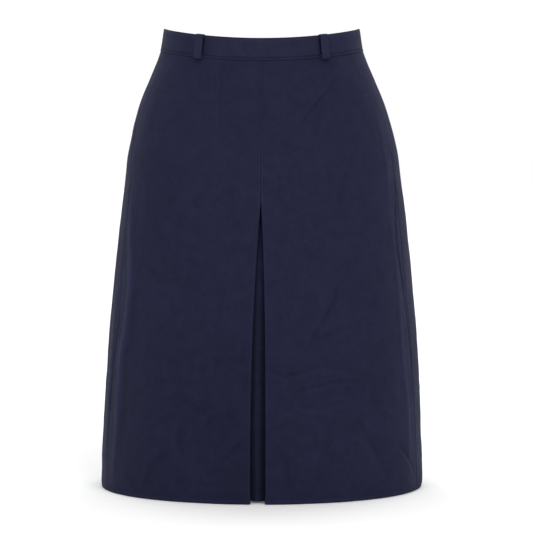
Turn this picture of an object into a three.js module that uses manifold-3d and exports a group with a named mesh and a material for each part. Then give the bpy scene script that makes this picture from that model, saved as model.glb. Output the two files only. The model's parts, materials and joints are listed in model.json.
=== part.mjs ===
/**
 * Flared (A-line) knee-length skirt with a stitched-down inverted pleat at the centre front.
 *
 * The skirt keeps the hollow, filled-out form that it has when it is worn. Every cut piece is a
 * thin closed wall: two front panels whose centre edges turn back as pleat returns, the pleat
 * underlay behind them, two back panels, the waistband, four belt loops, and a concealed zip at
 * the centre back with its slider and swinging pull tab.
 *
 * Frame, in millimetres: +Z up, the front faces -Y, +X is the wearer's left. The origin is the
 * middle of the waist, level with the top edge of the band at the centre front.
 */
import * as THREE from 'three';
import { mergeVertices } from 'three/addons/utils/BufferGeometryUtils.js';
import Module from 'manifold-3d';

// ---------------------------------------------------------------- driving dimensions
const CLOTH = 1.2; // wall of one layer of cotton twill
const HEM_CLOTH = 2.2; // wall of the turned hem
const HEM_TURN = 10; // depth of the turned hem
const SEAM_GAP = 0.3; // space left between two pieces at a seam
const LAY_GAP = 0.4; // space left between two pieces that lie on each other

const SKIRT_DROP = 617; // waist level to the hem
const BAND_DROP = 30; // height of the waistband
const BAND_PROUD = 0.5; // how far the band stands outside the panels
const BAND_CLOTH = 2.4; // wall of the folded, interfaced band
const SIDE_RISE = 12.3; // how much higher the waist edge is at the sides than at the front
const BACK_FALL = 4; // how much lower the waist edge is at the centre back than at the front
const RISE_FADE = 300; // drop at which the rings have become level

const CENTRE_X = -2; // line of the centre-front seam
const ALLOWANCE = 12; // seam allowance turned back above the pleat
const PLEAT_TOP = 151; // drop where the pleat returns begin
const PLEAT_APEX = 219; // drop where the pleat starts to open
const PLEAT_RETURN = 48; // width of each pleat return
const PLEAT_OPEN = { right: 14.4, left: 6.1 }; // how far each pleat edge has moved at the hem
const PLEAT_EASE = { right: 2.4, left: 4 }; // how soon each edge reaches its full opening
const POCKET_DEPTH = 13; // how far the underlay hangs back at the hem
const UNDERLAY_LIFT = 3.5; // how much shorter the underlay is than the hem
const FOLD_RADIUS = 1.6; // centreline radius of the pleat edges

const LOOP_WIDTH = 11;
const LOOP_CLOTH = 1.3;
const LOOP_GAP = 6.5; // clear space for a belt behind the loop
const LOOP_TOP = -1.2; // drop of the loop's upper end
const LOOP_BOTTOM = 31.4; // drop of the loop's lower end
const LOOP_FOOT = 6; // length turned under and sewn down at each end
const LOOP_TURNS = { front_left: 37, front_right: -37, back_left: 143, back_right: -143 };

const TAPE_NEAR = 0.9; // zip tape's edge beside the centre back
const TAPE_FAR = 13; // zip tape's outer edge
const TAPE_CLOTH = 0.8;
const TAPE_TOP = 3;
const TAPE_BOTTOM = 188;

const SLIDER_DROP = 10; // drop of the slider's middle
const SLIDER_BODY = { width: 7, height: 9, depth: 3 };
const NECK = { width: 0.9, height: 6 };
const CROWN = { width: 3.6, height: 8, thick: 0.8 };
const BAIL = { inner: 0.95, outer: 1.75, width: 2 };
const PIN_HEIGHT = 1; // pull's axis above the crown plate
const NOTCH = { halfWidth: 0.85, margin: 0.6, slope: 0.8 }; // opening in the band for the neck

const PULL = { width: 5.6, tip: 4, length: 19, thick: 0.8, bar: 0.8, slotWidth: 3, slotEnd: 2.25 };

const STEPS = { front: 18, fold: 4, back: 17, returns: 3, underlay: 9, band: 60, ring: 20 };

/**
 * Level rings of the worn form. drop: distance below the waist; half: half the width; front and
 * back: depth from the axis to the centre front and centre back; shift: sideways sway of the
 * ring; seam: angle of the side seam from the centre front, in degrees.
 */
const RINGS = [
  { drop: -6, half: 132.1, front: 85.2, back: 90.9, shift: -0.8, seam: 88 },
  { drop: 0, half: 133.0, front: 86.0, back: 92.0, shift: -0.8, seam: 88 },
  { drop: 30, half: 138.3, front: 91.0, back: 97.5, shift: -0.8, seam: 87 },
  { drop: 60, half: 150.6, front: 98.5, back: 107.0, shift: -0.5, seam: 85 },
  { drop: 100, half: 167.5, front: 107.5, back: 119.0, shift: -0.2, seam: 81 },
  { drop: 160, half: 183.9, front: 117.5, back: 133.0, shift: 0.4, seam: 75 },
  { drop: 200, half: 189.2, front: 122.5, back: 139.0, shift: 0.8, seam: 72 },
  { drop: 240, half: 194.9, front: 126.0, back: 142.5, shift: 1.0, seam: 71 },
  { drop: 320, half: 203.4, front: 133.5, back: 147.0, shift: 0.5, seam: 71.5 },
  { drop: 420, half: 212.7, front: 142.0, back: 152.0, shift: 0.4, seam: 72 },
  { drop: 520, half: 218.8, front: 149.5, back: 156.5, shift: -0.3, seam: 72.5 },
  { drop: 620, half: 222.8, front: 156.0, back: 160.0, shift: -1.0, seam: 73 },
];

/**
 * Largest soft folds of the worn cloth, each a trough between two places on the form. Places are
 * a drop and an angle from the centre front, positive on the wearer's left; width is the
 * distance from the trough's middle at which it has faded to about a third.
 */
const FOLDS = [
  { fromDrop: 48, fromTurn: 47, toDrop: 118, toTurn: 17, width: 11, depth: 1.2 },
  { fromDrop: 328, fromTurn: 29, toDrop: 409, toTurn: 17, width: 12, depth: 1.8 },
  { fromDrop: 447, fromTurn: 8, toDrop: 436, toTurn: 38, width: 11, depth: 1.6 },
  { fromDrop: 488, fromTurn: 11, toDrop: 466, toTurn: 40, width: 12, depth: 1.8 },
  { fromDrop: 523, fromTurn: 38, toDrop: 585, toTurn: 52, width: 13, depth: 1.8 },
  { fromDrop: 498, fromTurn: -27, toDrop: 528, toTurn: -45, width: 14, depth: 1.5 },
  { fromDrop: 545, fromTurn: -30, toDrop: 592, toTurn: -47, width: 15, depth: 2.0 },
  { fromDrop: 60, fromTurn: 150, toDrop: 128, toTurn: 122, width: 12, depth: 1.4 },
  { fromDrop: 350, fromTurn: -150, toDrop: 412, toTurn: -128, width: 14, depth: 1.8 },
  { fromDrop: 452, fromTurn: 158, toDrop: 436, toTurn: 124, width: 13, depth: 1.8 },
  { fromDrop: 520, fromTurn: -160, toDrop: 575, toTurn: -136, width: 15, depth: 2.0 },
];
const CLOTH_PER_RADIAN = 190; // length of cloth that one radian of a ring covers in FOLDS

/** Drops of the rows of points on a panel; the last three make the turned hem. */
const PANEL_DROPS = [
  BAND_DROP + SEAM_GAP / 2, 45, 60, 78, 97, 116, 132, PLEAT_TOP, 170, 193, PLEAT_APEX, 242, 270,
  300, 328, 352, 377, 402, 424, 445, 466, 488, 512, 538, 563, 588,
  SKIRT_DROP - HEM_TURN - 1, SKIRT_DROP - HEM_TURN, SKIRT_DROP,
];

// ---------------------------------------------------------------- the worn form

/** A column of RINGS at a drop, carried smoothly from row to row. */
function ringValue(column, drop) {
  const last = RINGS.length - 1;
  let row = 0;
  while (row < last - 1 && drop > RINGS[row + 1].drop) row += 1;
  const slope = (index) => {
    const low = RINGS[Math.max(index - 1, 0)];
    const high = RINGS[Math.min(index + 1, last)];
    return (high[column] - low[column]) / (high.drop - low.drop);
  };
  const from = RINGS[row];
  const to = RINGS[row + 1];
  const span = to.drop - from.drop;
  const t = (drop - from.drop) / span;
  const ease = t * t * (3 - 2 * t);
  const bulge = t * (1 - t) * span;
  return (
    from[column] * (1 - ease) + to[column] * ease
    + bulge * ((1 - t) * slope(row) - t * slope(row + 1))
  );
}

/** Height of the waist edge above a level ring, at an angle from the centre front. */
function riseAt(drop, turn) {
  const facing = Math.cos(turn);
  const dip = 0.2 * Math.abs(facing) + 0.8 * facing * facing;
  const fall = facing < 0 ? BACK_FALL * facing * facing : 0;
  const fade = 1 - THREE.MathUtils.smoothstep(drop, 0, RISE_FADE);
  return (SIDE_RISE * (1 - dip) - fall) * fade;
}

/** How far the soft folds draw the form in at a place. */
function foldDepth(drop, turn) {
  const flat = (placeDrop, placeTurn) => new THREE.Vector2(placeTurn * CLOTH_PER_RADIAN, placeDrop);
  const place = flat(drop, turn);
  return FOLDS.reduce((sum, { fromDrop, fromTurn, toDrop, toTurn, width, depth }) => {
    const from = flat(fromDrop, THREE.MathUtils.degToRad(fromTurn));
    const fold = flat(toDrop, THREE.MathUtils.degToRad(toTurn)).sub(from);
    const offset = place.clone().sub(from);
    const along = THREE.MathUtils.clamp(offset.dot(fold) / fold.lengthSq(), 0, 1);
    const aside = offset.addScaledVector(fold, -along).length() / width;
    const taper = 1 - (2 * along - 1) ** 4;
    return sum + depth * taper * Math.exp(-aside * aside);
  }, 0);
}

/** A point of the worn form, moved inward from the outer face of the panels. */
function formPoint(drop, turn, inward) {
  const half = ringValue('half', drop);
  const depth = ringValue(Math.cos(turn) > 0 ? 'front' : 'back', drop);
  const normal = new THREE.Vector2(Math.sin(turn) / half, -Math.cos(turn) / depth).normalize();
  const draw = inward + foldDepth(drop, turn);
  return new THREE.Vector3(
    ringValue('shift', drop) + half * Math.sin(turn) - draw * normal.x,
    -depth * Math.cos(turn) - draw * normal.y,
    -drop + riseAt(drop, turn),
  );
}

/** Angle that covers a distance along the ring. */
function turnFor(distance, drop, turn) {
  const half = ringValue('half', drop);
  const depth = ringValue(Math.cos(turn) > 0 ? 'front' : 'back', drop);
  return distance / Math.hypot(half * Math.cos(turn), depth * Math.sin(turn));
}

/** Angle of the side seam; side is -1 on the wearer's right and 1 on the wearer's left. */
function seamTurn(side, drop) {
  return side * THREE.MathUtils.degToRad(ringValue('seam', drop));
}

/** Wall of a panel: one layer of cloth, thicker in the turned hem. */
function clothAt(drop) {
  return drop >= SKIRT_DROP - HEM_TURN - 0.01 ? HEM_CLOTH : CLOTH;
}

/** How far the pleat is open at a drop, from 0 at its apex to 1 at the hem. */
function pleatOpening(drop, ease) {
  const along = THREE.MathUtils.clamp((drop - PLEAT_APEX) / (SKIRT_DROP - PLEAT_APEX), 0, 1);
  return 1 - (1 - along) ** ease;
}

/** How far the pleat's returns and underlay hang back at a drop. */
function pocketDepth(drop) {
  return POCKET_DEPTH * pleatOpening(drop, 1.6);
}

/** Width turned back at the centre front: the seam allowance, then the pleat return. */
function returnWidth(drop) {
  const grown = THREE.MathUtils.clamp((drop - PLEAT_TOP + 20) / 20, 0, 1);
  return THREE.MathUtils.lerp(ALLOWANCE, PLEAT_RETURN, grown);
}

// ---------------------------------------------------------------- closed walls

/** Signed volume of an indexed mesh: positive when its faces point outward. */
function signedVolume(points, faces) {
  return faces.reduce((sum, [a, b, c]) => {
    const turned = new THREE.Vector3().crossVectors(points[b], points[c]);
    return sum + points[a].dot(turned) / 6;
  }, 0);
}

/** Geometry from points and triangles, with its faces turned outward. */
function solidGeometry(points, faces) {
  const outward = signedVolume(points, faces) > 0;
  const index = faces.flatMap(([a, b, c]) => (outward ? [a, b, c] : [a, c, b]));
  const geometry = new THREE.BufferGeometry().setFromPoints(points);
  geometry.setIndex(index);
  geometry.computeVertexNormals();
  return geometry;
}

/** Closed wall between two faces of points, face[row][column], joined round all four edges. */
function wallGeometry(outer, inner) {
  const rows = outer.length;
  const columns = outer[0].length;
  const points = [...outer.flat(), ...inner.flat()];
  const at = (face, row, column) => (face * rows + row) * columns + column;
  const faces = [];
  const quad = (a, b, c, d) => faces.push([a, b, c], [a, c, d]);
  for (let row = 0; row < rows - 1; row += 1) {
    for (let column = 0; column < columns - 1; column += 1) {
      const corners = [[row, column], [row + 1, column], [row + 1, column + 1], [row, column + 1]];
      quad(...corners.map(([r, c]) => at(0, r, c)));
      quad(...corners.reverse().map(([r, c]) => at(1, r, c)));
    }
    const end = columns - 1;
    quad(at(0, row, 0), at(1, row, 0), at(1, row + 1, 0), at(0, row + 1, 0));
    quad(at(0, row + 1, end), at(1, row + 1, end), at(1, row, end), at(0, row, end));
  }
  for (let column = 0; column < columns - 1; column += 1) {
    const end = rows - 1;
    quad(at(0, 0, column + 1), at(1, 0, column + 1), at(1, 0, column), at(0, 0, column));
    quad(at(0, end, column), at(1, end, column), at(1, end, column + 1), at(0, end, column + 1));
  }
  return solidGeometry(points, faces);
}

/** Both faces of a wall whose middle follows a path of points in plan. */
function facesFromPath(path, cloth) {
  const normals = path.map((_, index) => {
    const before = path[Math.max(index - 1, 0)];
    const after = path[Math.min(index + 1, path.length - 1)];
    return new THREE.Vector3(before.y - after.y, after.x - before.x, 0).normalize();
  });
  const moved = (by) => path.map((point, index) => point.clone().addScaledVector(normals[index], by));
  return { left: moved(cloth / 2), right: moved(-cloth / 2) };
}

/** Closed wall through rows of paths; pathAt(drop) gives a row and clothAt(drop) its wall. */
function wallFromPaths(drops, pathAt) {
  const rows = drops.map((drop) => facesFromPath(pathAt(drop), clothAt(drop)));
  return wallGeometry(rows.map((row) => row.left), rows.map((row) => row.right));
}

/** Numbers from one end to the other in equal steps, both ends included. */
function spread(from, to, steps) {
  return Array.from({ length: steps + 1 }, (_, step) => THREE.MathUtils.lerp(from, to, step / steps));
}

// ---------------------------------------------------------------- front and pleat

/** Angle at which a front panel starts to fold back at the centre front. */
function foldTurn(side, drop) {
  const name = side < 0 ? 'right' : 'left';
  const opening = PLEAT_OPEN[name] * pleatOpening(drop, PLEAT_EASE[name]);
  const inset = opening + SEAM_GAP / 2 + FOLD_RADIUS + clothAt(drop) / 2;
  const across = CENTRE_X + side * inset - ringValue('shift', drop);
  return Math.asin(across / ringValue('half', drop));
}

/** Angle at which a pleat return ends. */
function returnEndTurn(side, drop) {
  const start = foldTurn(side, drop);
  return start + side * turnFor(returnWidth(drop), drop, start);
}

/** Plan of a front panel: side seam, front, the turned edge, and the return behind it. */
function frontPath(side, drop) {
  const middle = clothAt(drop) / 2;
  const seam = seamTurn(side, drop);
  const seamEdge = seam - side * turnFor(SEAM_GAP / 2, drop, seam);
  const fold = foldTurn(side, drop);
  const front = spread(seamEdge, fold, STEPS.front).map((turn) => formPoint(drop, turn, middle));

  const centre = formPoint(drop, fold, middle + FOLD_RADIUS);
  const outward = front.at(-1).clone().sub(centre);
  const towardCentre = new THREE.Vector3(side * outward.y, -side * outward.x, 0);
  const edge = spread(0, Math.PI, STEPS.fold).slice(1).map((angle) => (
    centre.clone()
      .addScaledVector(outward, Math.cos(angle))
      .addScaledVector(towardCentre, Math.sin(angle))
  ));

  const back = spread(0, 1, STEPS.returns).slice(1).map((along) => {
    const turn = THREE.MathUtils.lerp(fold, returnEndTurn(side, drop), along);
    const slant = pocketDepth(drop) * along * along * (3 - 2 * along);
    return formPoint(drop, turn, middle + 2 * FOLD_RADIUS + slant);
  });
  return [...front, ...edge, ...back];
}

/** Plan of the pleat underlay, just behind the ends of the two returns. */
function underlayPath(drop) {
  const inward = 2 * FOLD_RADIUS + 1.5 * clothAt(drop) + LAY_GAP + pocketDepth(drop);
  const ends = [-1, 1].map((side) => returnEndTurn(side, drop));
  return spread(ends[0], ends[1], STEPS.underlay).map((turn) => formPoint(drop, turn, inward));
}

/** Drops of the underlay's rows: those of the panels, ended a little above the hem. */
function underlayDrops() {
  const rows = PANEL_DROPS.filter((drop) => drop >= PLEAT_TOP && drop < SKIRT_DROP - UNDERLAY_LIFT);
  return [...rows, SKIRT_DROP - UNDERLAY_LIFT];
}

// ---------------------------------------------------------------- back and waistband

/** Plan of a back panel, from the side seam to the centre back. */
function backPath(side, drop) {
  const seam = seamTurn(side, drop);
  const start = seam + side * turnFor(SEAM_GAP / 2, drop, seam);
  const end = side * (Math.PI - turnFor(SEAM_GAP / 2, drop, Math.PI));
  return spread(start, end, STEPS.back).map((turn) => formPoint(drop, turn, clothAt(drop) / 2));
}

/** Rows of the band: its edges, and the notch for the slider's neck in its two ends. */
function bandRows() {
  const notchTop = SLIDER_DROP - NECK.height / 2 - NOTCH.margin;
  const notchBottom = SLIDER_DROP + NECK.height / 2 + NOTCH.margin;
  return [
    { drop: 0, gap: SEAM_GAP / 2 },
    { drop: notchTop - NOTCH.slope, gap: SEAM_GAP / 2 },
    { drop: notchTop, gap: NOTCH.halfWidth },
    { drop: notchBottom, gap: NOTCH.halfWidth },
    { drop: notchBottom + NOTCH.slope, gap: SEAM_GAP / 2 },
    { drop: BAND_DROP - SEAM_GAP / 2, gap: SEAM_GAP / 2 },
  ];
}

/** The waistband, a band open at the centre back. */
function bandGeometry() {
  const face = (inward) => bandRows().map(({ drop, gap }) => {
    const end = Math.PI - turnFor(gap, drop, Math.PI);
    return spread(-end, end, STEPS.band).map((turn) => formPoint(drop, turn, inward));
  });
  return wallGeometry(face(-BAND_PROUD), face(BAND_CLOTH - BAND_PROUD));
}

// ---------------------------------------------------------------- belt loops

/** A path with each inner corner rounded by a curve that starts at its own radius away. */
function roundedPath(corners, steps) {
  return corners.flatMap(({ at, radius }, index) => {
    if (!radius) return [at];
    const before = corners[index - 1].at.clone().sub(at).setLength(radius).add(at);
    const after = corners[index + 1].at.clone().sub(at).setLength(radius).add(at);
    return new THREE.QuadraticBezierCurve(before, at, after).getPoints(steps);
  });
}

/** Side view of a belt loop, as drop and height above the panels, through its middle. */
function loopProfile() {
  const foot = BAND_PROUD + SEAM_GAP + LOOP_CLOTH / 2;
  const strip = BAND_PROUD + LOOP_GAP + LOOP_CLOTH / 2;
  const top = LOOP_TOP + LOOP_CLOTH / 2;
  const bottom = LOOP_BOTTOM - LOOP_CLOTH / 2;
  const corner = (drop, out, radius) => ({ at: new THREE.Vector2(drop, out), radius });
  return roundedPath([
    corner(LOOP_TOP + LOOP_FOOT, foot, 0),
    corner(top, foot, 1.4),
    corner(top, strip, 2.6),
    corner(bottom, strip, 2.6),
    corner(bottom, foot, 1.4),
    corner(LOOP_BOTTOM - LOOP_FOOT, foot, 0),
  ], 3);
}

/** A belt loop, its strip carried across the band's own curve at an angle in degrees. */
function loopGeometry(degrees) {
  const middle = THREE.MathUtils.degToRad(degrees);
  const profile = loopProfile().map((point) => new THREE.Vector3(point.x, point.y, 0));
  const faces = facesFromPath(profile, LOOP_CLOTH);
  const across = spread(-LOOP_WIDTH / 2, LOOP_WIDTH / 2, 2);
  const strip = (face) => across.map((offset) => face.map(({ x: drop, y: out }) => (
    formPoint(drop, middle + turnFor(offset, drop, middle), -out)
  )));
  return wallGeometry(strip(faces.left), strip(faces.right));
}

// ---------------------------------------------------------------- concealed zip

/** One zip tape, laid against the inside of the band and the back panel. */
function tapeGeometry(side) {
  const outerFace = BAND_CLOTH - BAND_PROUD + LAY_GAP;
  const face = (inward) => spread(TAPE_TOP, TAPE_BOTTOM, 12).map((drop) => (
    spread(TAPE_NEAR, TAPE_FAR, 2).map((offset) => (
      formPoint(drop, side * (Math.PI - turnFor(offset, drop, Math.PI)), inward)
    ))
  ));
  return wallGeometry(face(outerFace), face(outerFace + TAPE_CLOTH));
}

/** Slope of the centre back at the slider, as the tilt of its outward direction. */
function sliderTilt() {
  const above = formPoint(SLIDER_DROP - 5, Math.PI, 0);
  const below = formPoint(SLIDER_DROP + 5, Math.PI, 0);
  return Math.atan2(below.y - above.y, above.z - below.z);
}

/** A group at the centre back with +Z up along the cloth and +Y straight out of it. */
function sliderFrame() {
  const frame = new THREE.Group();
  frame.position.copy(formPoint(SLIDER_DROP, Math.PI, 0));
  frame.rotation.x = sliderTilt();
  return frame;
}

/** Levels above the panels' outer face at which the slider's parts start and end. */
function sliderLevels() {
  const crownBase = BAND_PROUD + LAY_GAP;
  const crownTop = crownBase + CROWN.thick;
  const bodyTop = -(BAND_CLOTH - BAND_PROUD + LAY_GAP + TAPE_CLOTH + SEAM_GAP);
  return { crownBase, crownTop, axis: crownTop + PIN_HEIGHT, bodyTop };
}

/** Library solid of a closed geometry. */
function toManifold(library, geometry) {
  const bare = geometry.clone();
  bare.deleteAttribute('normal');
  bare.deleteAttribute('uv');
  const merged = mergeVertices(bare, 1e-4);
  return new library.Manifold(new library.Mesh({
    numProp: 3,
    vertProperties: Float32Array.from(merged.attributes.position.array),
    triVerts: Uint32Array.from(merged.index.array),
  }));
}

/** Geometry of a library solid. */
function fromManifold(solid) {
  const mesh = solid.getMesh();
  const geometry = new THREE.BufferGeometry();
  geometry.setAttribute('position', new THREE.BufferAttribute(mesh.vertProperties, 3));
  geometry.setIndex(new THREE.BufferAttribute(mesh.triVerts, 1));
  geometry.computeVertexNormals();
  return geometry;
}

/** A block between two levels above the cloth. */
function block(width, height, from, to) {
  return new THREE.BoxGeometry(width, to - from, height).translate(0, (from + to) / 2, 0);
}

/** The bail: a ring round the pull's axis, lying in the YZ plane. */
function bailGeometry(axis) {
  const ring = new THREE.Shape().absarc(0, 0, BAIL.outer, 0, 2 * Math.PI);
  ring.holes.push(new THREE.Path().absarc(0, 0, BAIL.inner, 0, 2 * Math.PI, true));
  return new THREE.ExtrudeGeometry(ring, {
    depth: BAIL.width,
    bevelEnabled: false,
    curveSegments: STEPS.ring,
  }).translate(0, 0, -BAIL.width / 2).rotateY(Math.PI / 2).translate(0, axis, 0);
}

/** The slider: body behind the tapes, neck through the seam, crown plate and bail outside. */
function sliderGeometry(library) {
  const { crownBase, crownTop, axis, bodyTop } = sliderLevels();
  const overlap = 0.3;
  return fromManifold([
    block(CROWN.width, CROWN.height, crownBase, crownTop),
    block(NECK.width, NECK.height, bodyTop - overlap, crownBase + overlap),
    block(SLIDER_BODY.width, SLIDER_BODY.height, bodyTop - SLIDER_BODY.depth, bodyTop),
    bailGeometry(axis),
  ].map((piece) => toManifold(library, piece)).reduce((whole, piece) => whole.add(piece)));
}

/** The pull tab, hanging down from its bar; the bar's middle is at the origin. */
function pullGeometry() {
  const { width, tip, length, thick, bar, slotWidth, slotEnd } = PULL;
  const top = bar / 2;
  const end = -length + tip / 2;
  const tab = new THREE.Shape();
  tab.moveTo(-width / 2, top);
  tab.lineTo(-width / 2, -slotEnd - 2);
  tab.lineTo(-tip / 2, end);
  tab.absarc(0, end, tip / 2, Math.PI, 2 * Math.PI);
  tab.lineTo(width / 2, -slotEnd - 2);
  tab.lineTo(width / 2, top);
  tab.closePath();
  const slot = new THREE.Path();
  slot.moveTo(-slotWidth / 2, -top);
  slot.lineTo(slotWidth / 2, -top);
  slot.lineTo(slotWidth / 2, -slotEnd);
  slot.lineTo(-slotWidth / 2, -slotEnd);
  slot.closePath();
  tab.holes.push(slot);
  return new THREE.ExtrudeGeometry(tab, { depth: thick, bevelEnabled: false, curveSegments: 8 })
    .translate(0, 0, -thick / 2)
    .rotateX(Math.PI / 2);
}

// ---------------------------------------------------------------- the assembled skirt

const twill = new THREE.MeshStandardMaterial({ color: 0x26273c, roughness: 0.9, metalness: 0 });
const bandTwill = new THREE.MeshStandardMaterial({ color: 0x2a2b40, roughness: 0.9, metalness: 0 });
const tapeCloth = new THREE.MeshStandardMaterial({ color: 0x202132, roughness: 0.85, metalness: 0 });
const zipMetal = new THREE.MeshStandardMaterial({ color: 0x34363f, roughness: 0.4, metalness: 0.8 });

/** A named mesh with a material of its own. */
function piece(name, geometry, material) {
  const mesh = new THREE.Mesh(geometry, material.clone());
  mesh.name = name;
  return mesh;
}

/** Front panels with their pleat returns, the underlay behind them, and the back panels. */
function addPanels(skirt) {
  for (const [name, side] of [['left', 1], ['right', -1]]) {
    const front = wallFromPaths(PANEL_DROPS, (drop) => frontPath(side, drop));
    const back = wallFromPaths(PANEL_DROPS, (drop) => backPath(side, drop));
    skirt.add(piece(`front_${name}`, front, twill));
    skirt.add(piece(`back_${name}`, back, twill));
  }
  skirt.add(piece('pleat_underlay', wallFromPaths(underlayDrops(), underlayPath), twill));
}

/** The waistband and its belt loops. */
function addWaist(skirt) {
  skirt.add(piece('waistband', bandGeometry(), bandTwill));
  for (const [name, degrees] of Object.entries(LOOP_TURNS)) {
    skirt.add(piece(`belt_loop_${name}`, loopGeometry(degrees), bandTwill));
  }
}

/** The concealed zip: two tapes, the slider, and the pull tab on its bail. */
function addZip(skirt, library) {
  skirt.add(piece('zip_tape_left', tapeGeometry(1), tapeCloth));
  skirt.add(piece('zip_tape_right', tapeGeometry(-1), tapeCloth));
  const frame = sliderFrame();
  frame.add(piece('zip_slider', sliderGeometry(library), zipMetal));
  const pull = piece('zip_pull', pullGeometry(), zipMetal);
  pull.position.y = sliderLevels().axis;
  frame.add(pull);
  skirt.add(frame);
}

const library = await Module();
library.setup();

const skirt = new THREE.Group();
addPanels(skirt);
addWaist(skirt);
addZip(skirt, library);

export default skirt;
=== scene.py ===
"""Looks of a flared cotton skirt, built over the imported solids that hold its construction.

Every cloth piece is a thin shell on the form of its own solid: front panels with turned pleat
edges, pleat underlay, back panels, folded waistband and belt loops. Thread, zip coil and the
finishes are added here. The frame is the solids' own: metres, +Z up, the front faces -Y.
"""

import json
import logging
import math
from dataclasses import dataclass, field
from enum import Enum

import bmesh
import bpy
import numpy as np
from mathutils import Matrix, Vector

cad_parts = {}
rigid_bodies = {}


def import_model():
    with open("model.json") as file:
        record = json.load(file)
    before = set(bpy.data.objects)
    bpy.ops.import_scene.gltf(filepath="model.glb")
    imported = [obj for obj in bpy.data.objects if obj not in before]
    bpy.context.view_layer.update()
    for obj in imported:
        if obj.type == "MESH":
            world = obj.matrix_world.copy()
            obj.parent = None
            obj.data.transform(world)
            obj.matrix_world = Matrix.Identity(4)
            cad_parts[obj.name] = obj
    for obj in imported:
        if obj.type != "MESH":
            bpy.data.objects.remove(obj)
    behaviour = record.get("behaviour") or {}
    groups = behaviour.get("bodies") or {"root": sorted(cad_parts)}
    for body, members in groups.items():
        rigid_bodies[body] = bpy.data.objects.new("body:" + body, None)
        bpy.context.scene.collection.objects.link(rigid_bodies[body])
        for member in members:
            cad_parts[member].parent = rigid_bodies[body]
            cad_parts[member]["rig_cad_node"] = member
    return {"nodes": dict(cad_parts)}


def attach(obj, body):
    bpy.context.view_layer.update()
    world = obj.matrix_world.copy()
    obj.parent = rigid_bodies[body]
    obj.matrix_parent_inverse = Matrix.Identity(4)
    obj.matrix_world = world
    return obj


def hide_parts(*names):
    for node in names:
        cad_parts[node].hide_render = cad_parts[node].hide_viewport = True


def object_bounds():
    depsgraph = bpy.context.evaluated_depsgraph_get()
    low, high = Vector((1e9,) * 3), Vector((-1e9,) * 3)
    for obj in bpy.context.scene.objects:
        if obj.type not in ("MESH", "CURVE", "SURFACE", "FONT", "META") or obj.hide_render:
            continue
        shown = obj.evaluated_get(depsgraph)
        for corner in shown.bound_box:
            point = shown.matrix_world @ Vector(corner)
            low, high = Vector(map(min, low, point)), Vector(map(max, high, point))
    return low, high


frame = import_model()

LOG = logging.getLogger("skirt")
MM = 0.001  # metres in a millimetre; all sizes below are in millimetres unless they say metres
CAD_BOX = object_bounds()


# ---------------------------------------------------------------- names of options


class Side(Enum):
    """Side of the wearer; its value is the sign of X on that side."""

    LEFT = 1
    RIGHT = -1

    @property
    def word(self) -> str:
        """Name used in the names of pieces."""
        return self.name.lower()


class Weave(Enum):
    """Ways in which the yarns cross; the value is the step of one float to the next."""

    PLAIN = 0.0
    TWILL = 1.0


# ---------------------------------------------------------------- shapes in numbers


@dataclass(frozen=True)
class Streak:
    """Something strongest along a line, fading on both sides of it.

    Place is the line's distance from where distances are counted, and width the distance from
    the line at which it has faded to about a third.
    """

    strength: float
    place: float
    width: float

    def at(self, distance: np.ndarray) -> np.ndarray:
        """Its strength at distances across the line."""
        return self.strength * np.exp(-(((distance - self.place) / self.width) ** 2))


def smoothstep(value: np.ndarray, low: float, high: float) -> np.ndarray:
    """Rise from 0 at low to 1 at high, level at both ends."""
    t = np.clip((np.asarray(value, float) - low) / (high - low), 0, 1)
    return t * t * (3 - 2 * t)


@dataclass(frozen=True)
class Ramp:
    """A rise from nothing at low to a full strength at high, level at both ends."""

    low: float
    high: float
    strength: float = 1.0

    def at(self, value: np.ndarray) -> np.ndarray:
        """Its strength at each value."""
        return self.strength * smoothstep(value, self.low, self.high)


def eased(count: int, crowd: float) -> np.ndarray:
    """Positions from 0 to 1, crowded towards both ends by a share from 0 to 1."""
    t = np.linspace(0, 1, count)
    return t - crowd * np.sin(2 * math.pi * t) / (2 * math.pi)


def lengths_along(path: np.ndarray) -> np.ndarray:
    """Distances along paths from their first points; paths are (..., points, 3)."""
    steps = np.linalg.norm(np.diff(path, axis=-2), axis=-1)
    return np.cumsum(np.concatenate([np.zeros_like(steps[..., :1]), steps], axis=-1), axis=-1)


def level_normals(path: np.ndarray) -> np.ndarray:
    """Left-hand normals, in the plane of X and Y, of paths that are (..., points, 3)."""
    step = np.gradient(path, axis=-2)
    length = np.hypot(step[..., 0], step[..., 1])
    return np.stack([-step[..., 1] / length, step[..., 0] / length, 0 * length], axis=-1)


# ---------------------------------------------------------------- the worn form


@dataclass(frozen=True)
class Ring:
    """A level ring of the worn form.

    Drop is the distance below the waist, half is half the width, front and back are the depths
    from the axis, shift is the sideways sway and seam the side seam's angle in degrees.
    """

    drop: float
    half: float
    front: float
    back: float
    shift: float
    seam: float


RINGS = (
    Ring(-6, 132.1, 85.2, 90.9, -0.8, 88),
    Ring(0, 133.0, 86.0, 92.0, -0.8, 88),
    Ring(30, 138.3, 91.0, 97.5, -0.8, 87),
    Ring(60, 150.6, 98.5, 107.0, -0.5, 85),
    Ring(100, 167.5, 107.5, 119.0, -0.2, 81),
    Ring(160, 183.9, 117.5, 133.0, 0.4, 75),
    Ring(200, 189.2, 122.5, 139.0, 0.8, 72),
    Ring(240, 194.9, 126.0, 142.5, 1.0, 71),
    Ring(320, 203.4, 133.5, 147.0, 0.5, 71.5),
    Ring(420, 212.7, 142.0, 152.0, 0.4, 72),
    Ring(520, 218.8, 149.5, 156.5, -0.3, 72.5),
    Ring(620, 222.8, 156.0, 160.0, -1.0, 73),
)


CLOTH_PER_RADIAN = 190.0  # cloth that a radian of a ring covers, for the folds' places


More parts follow.
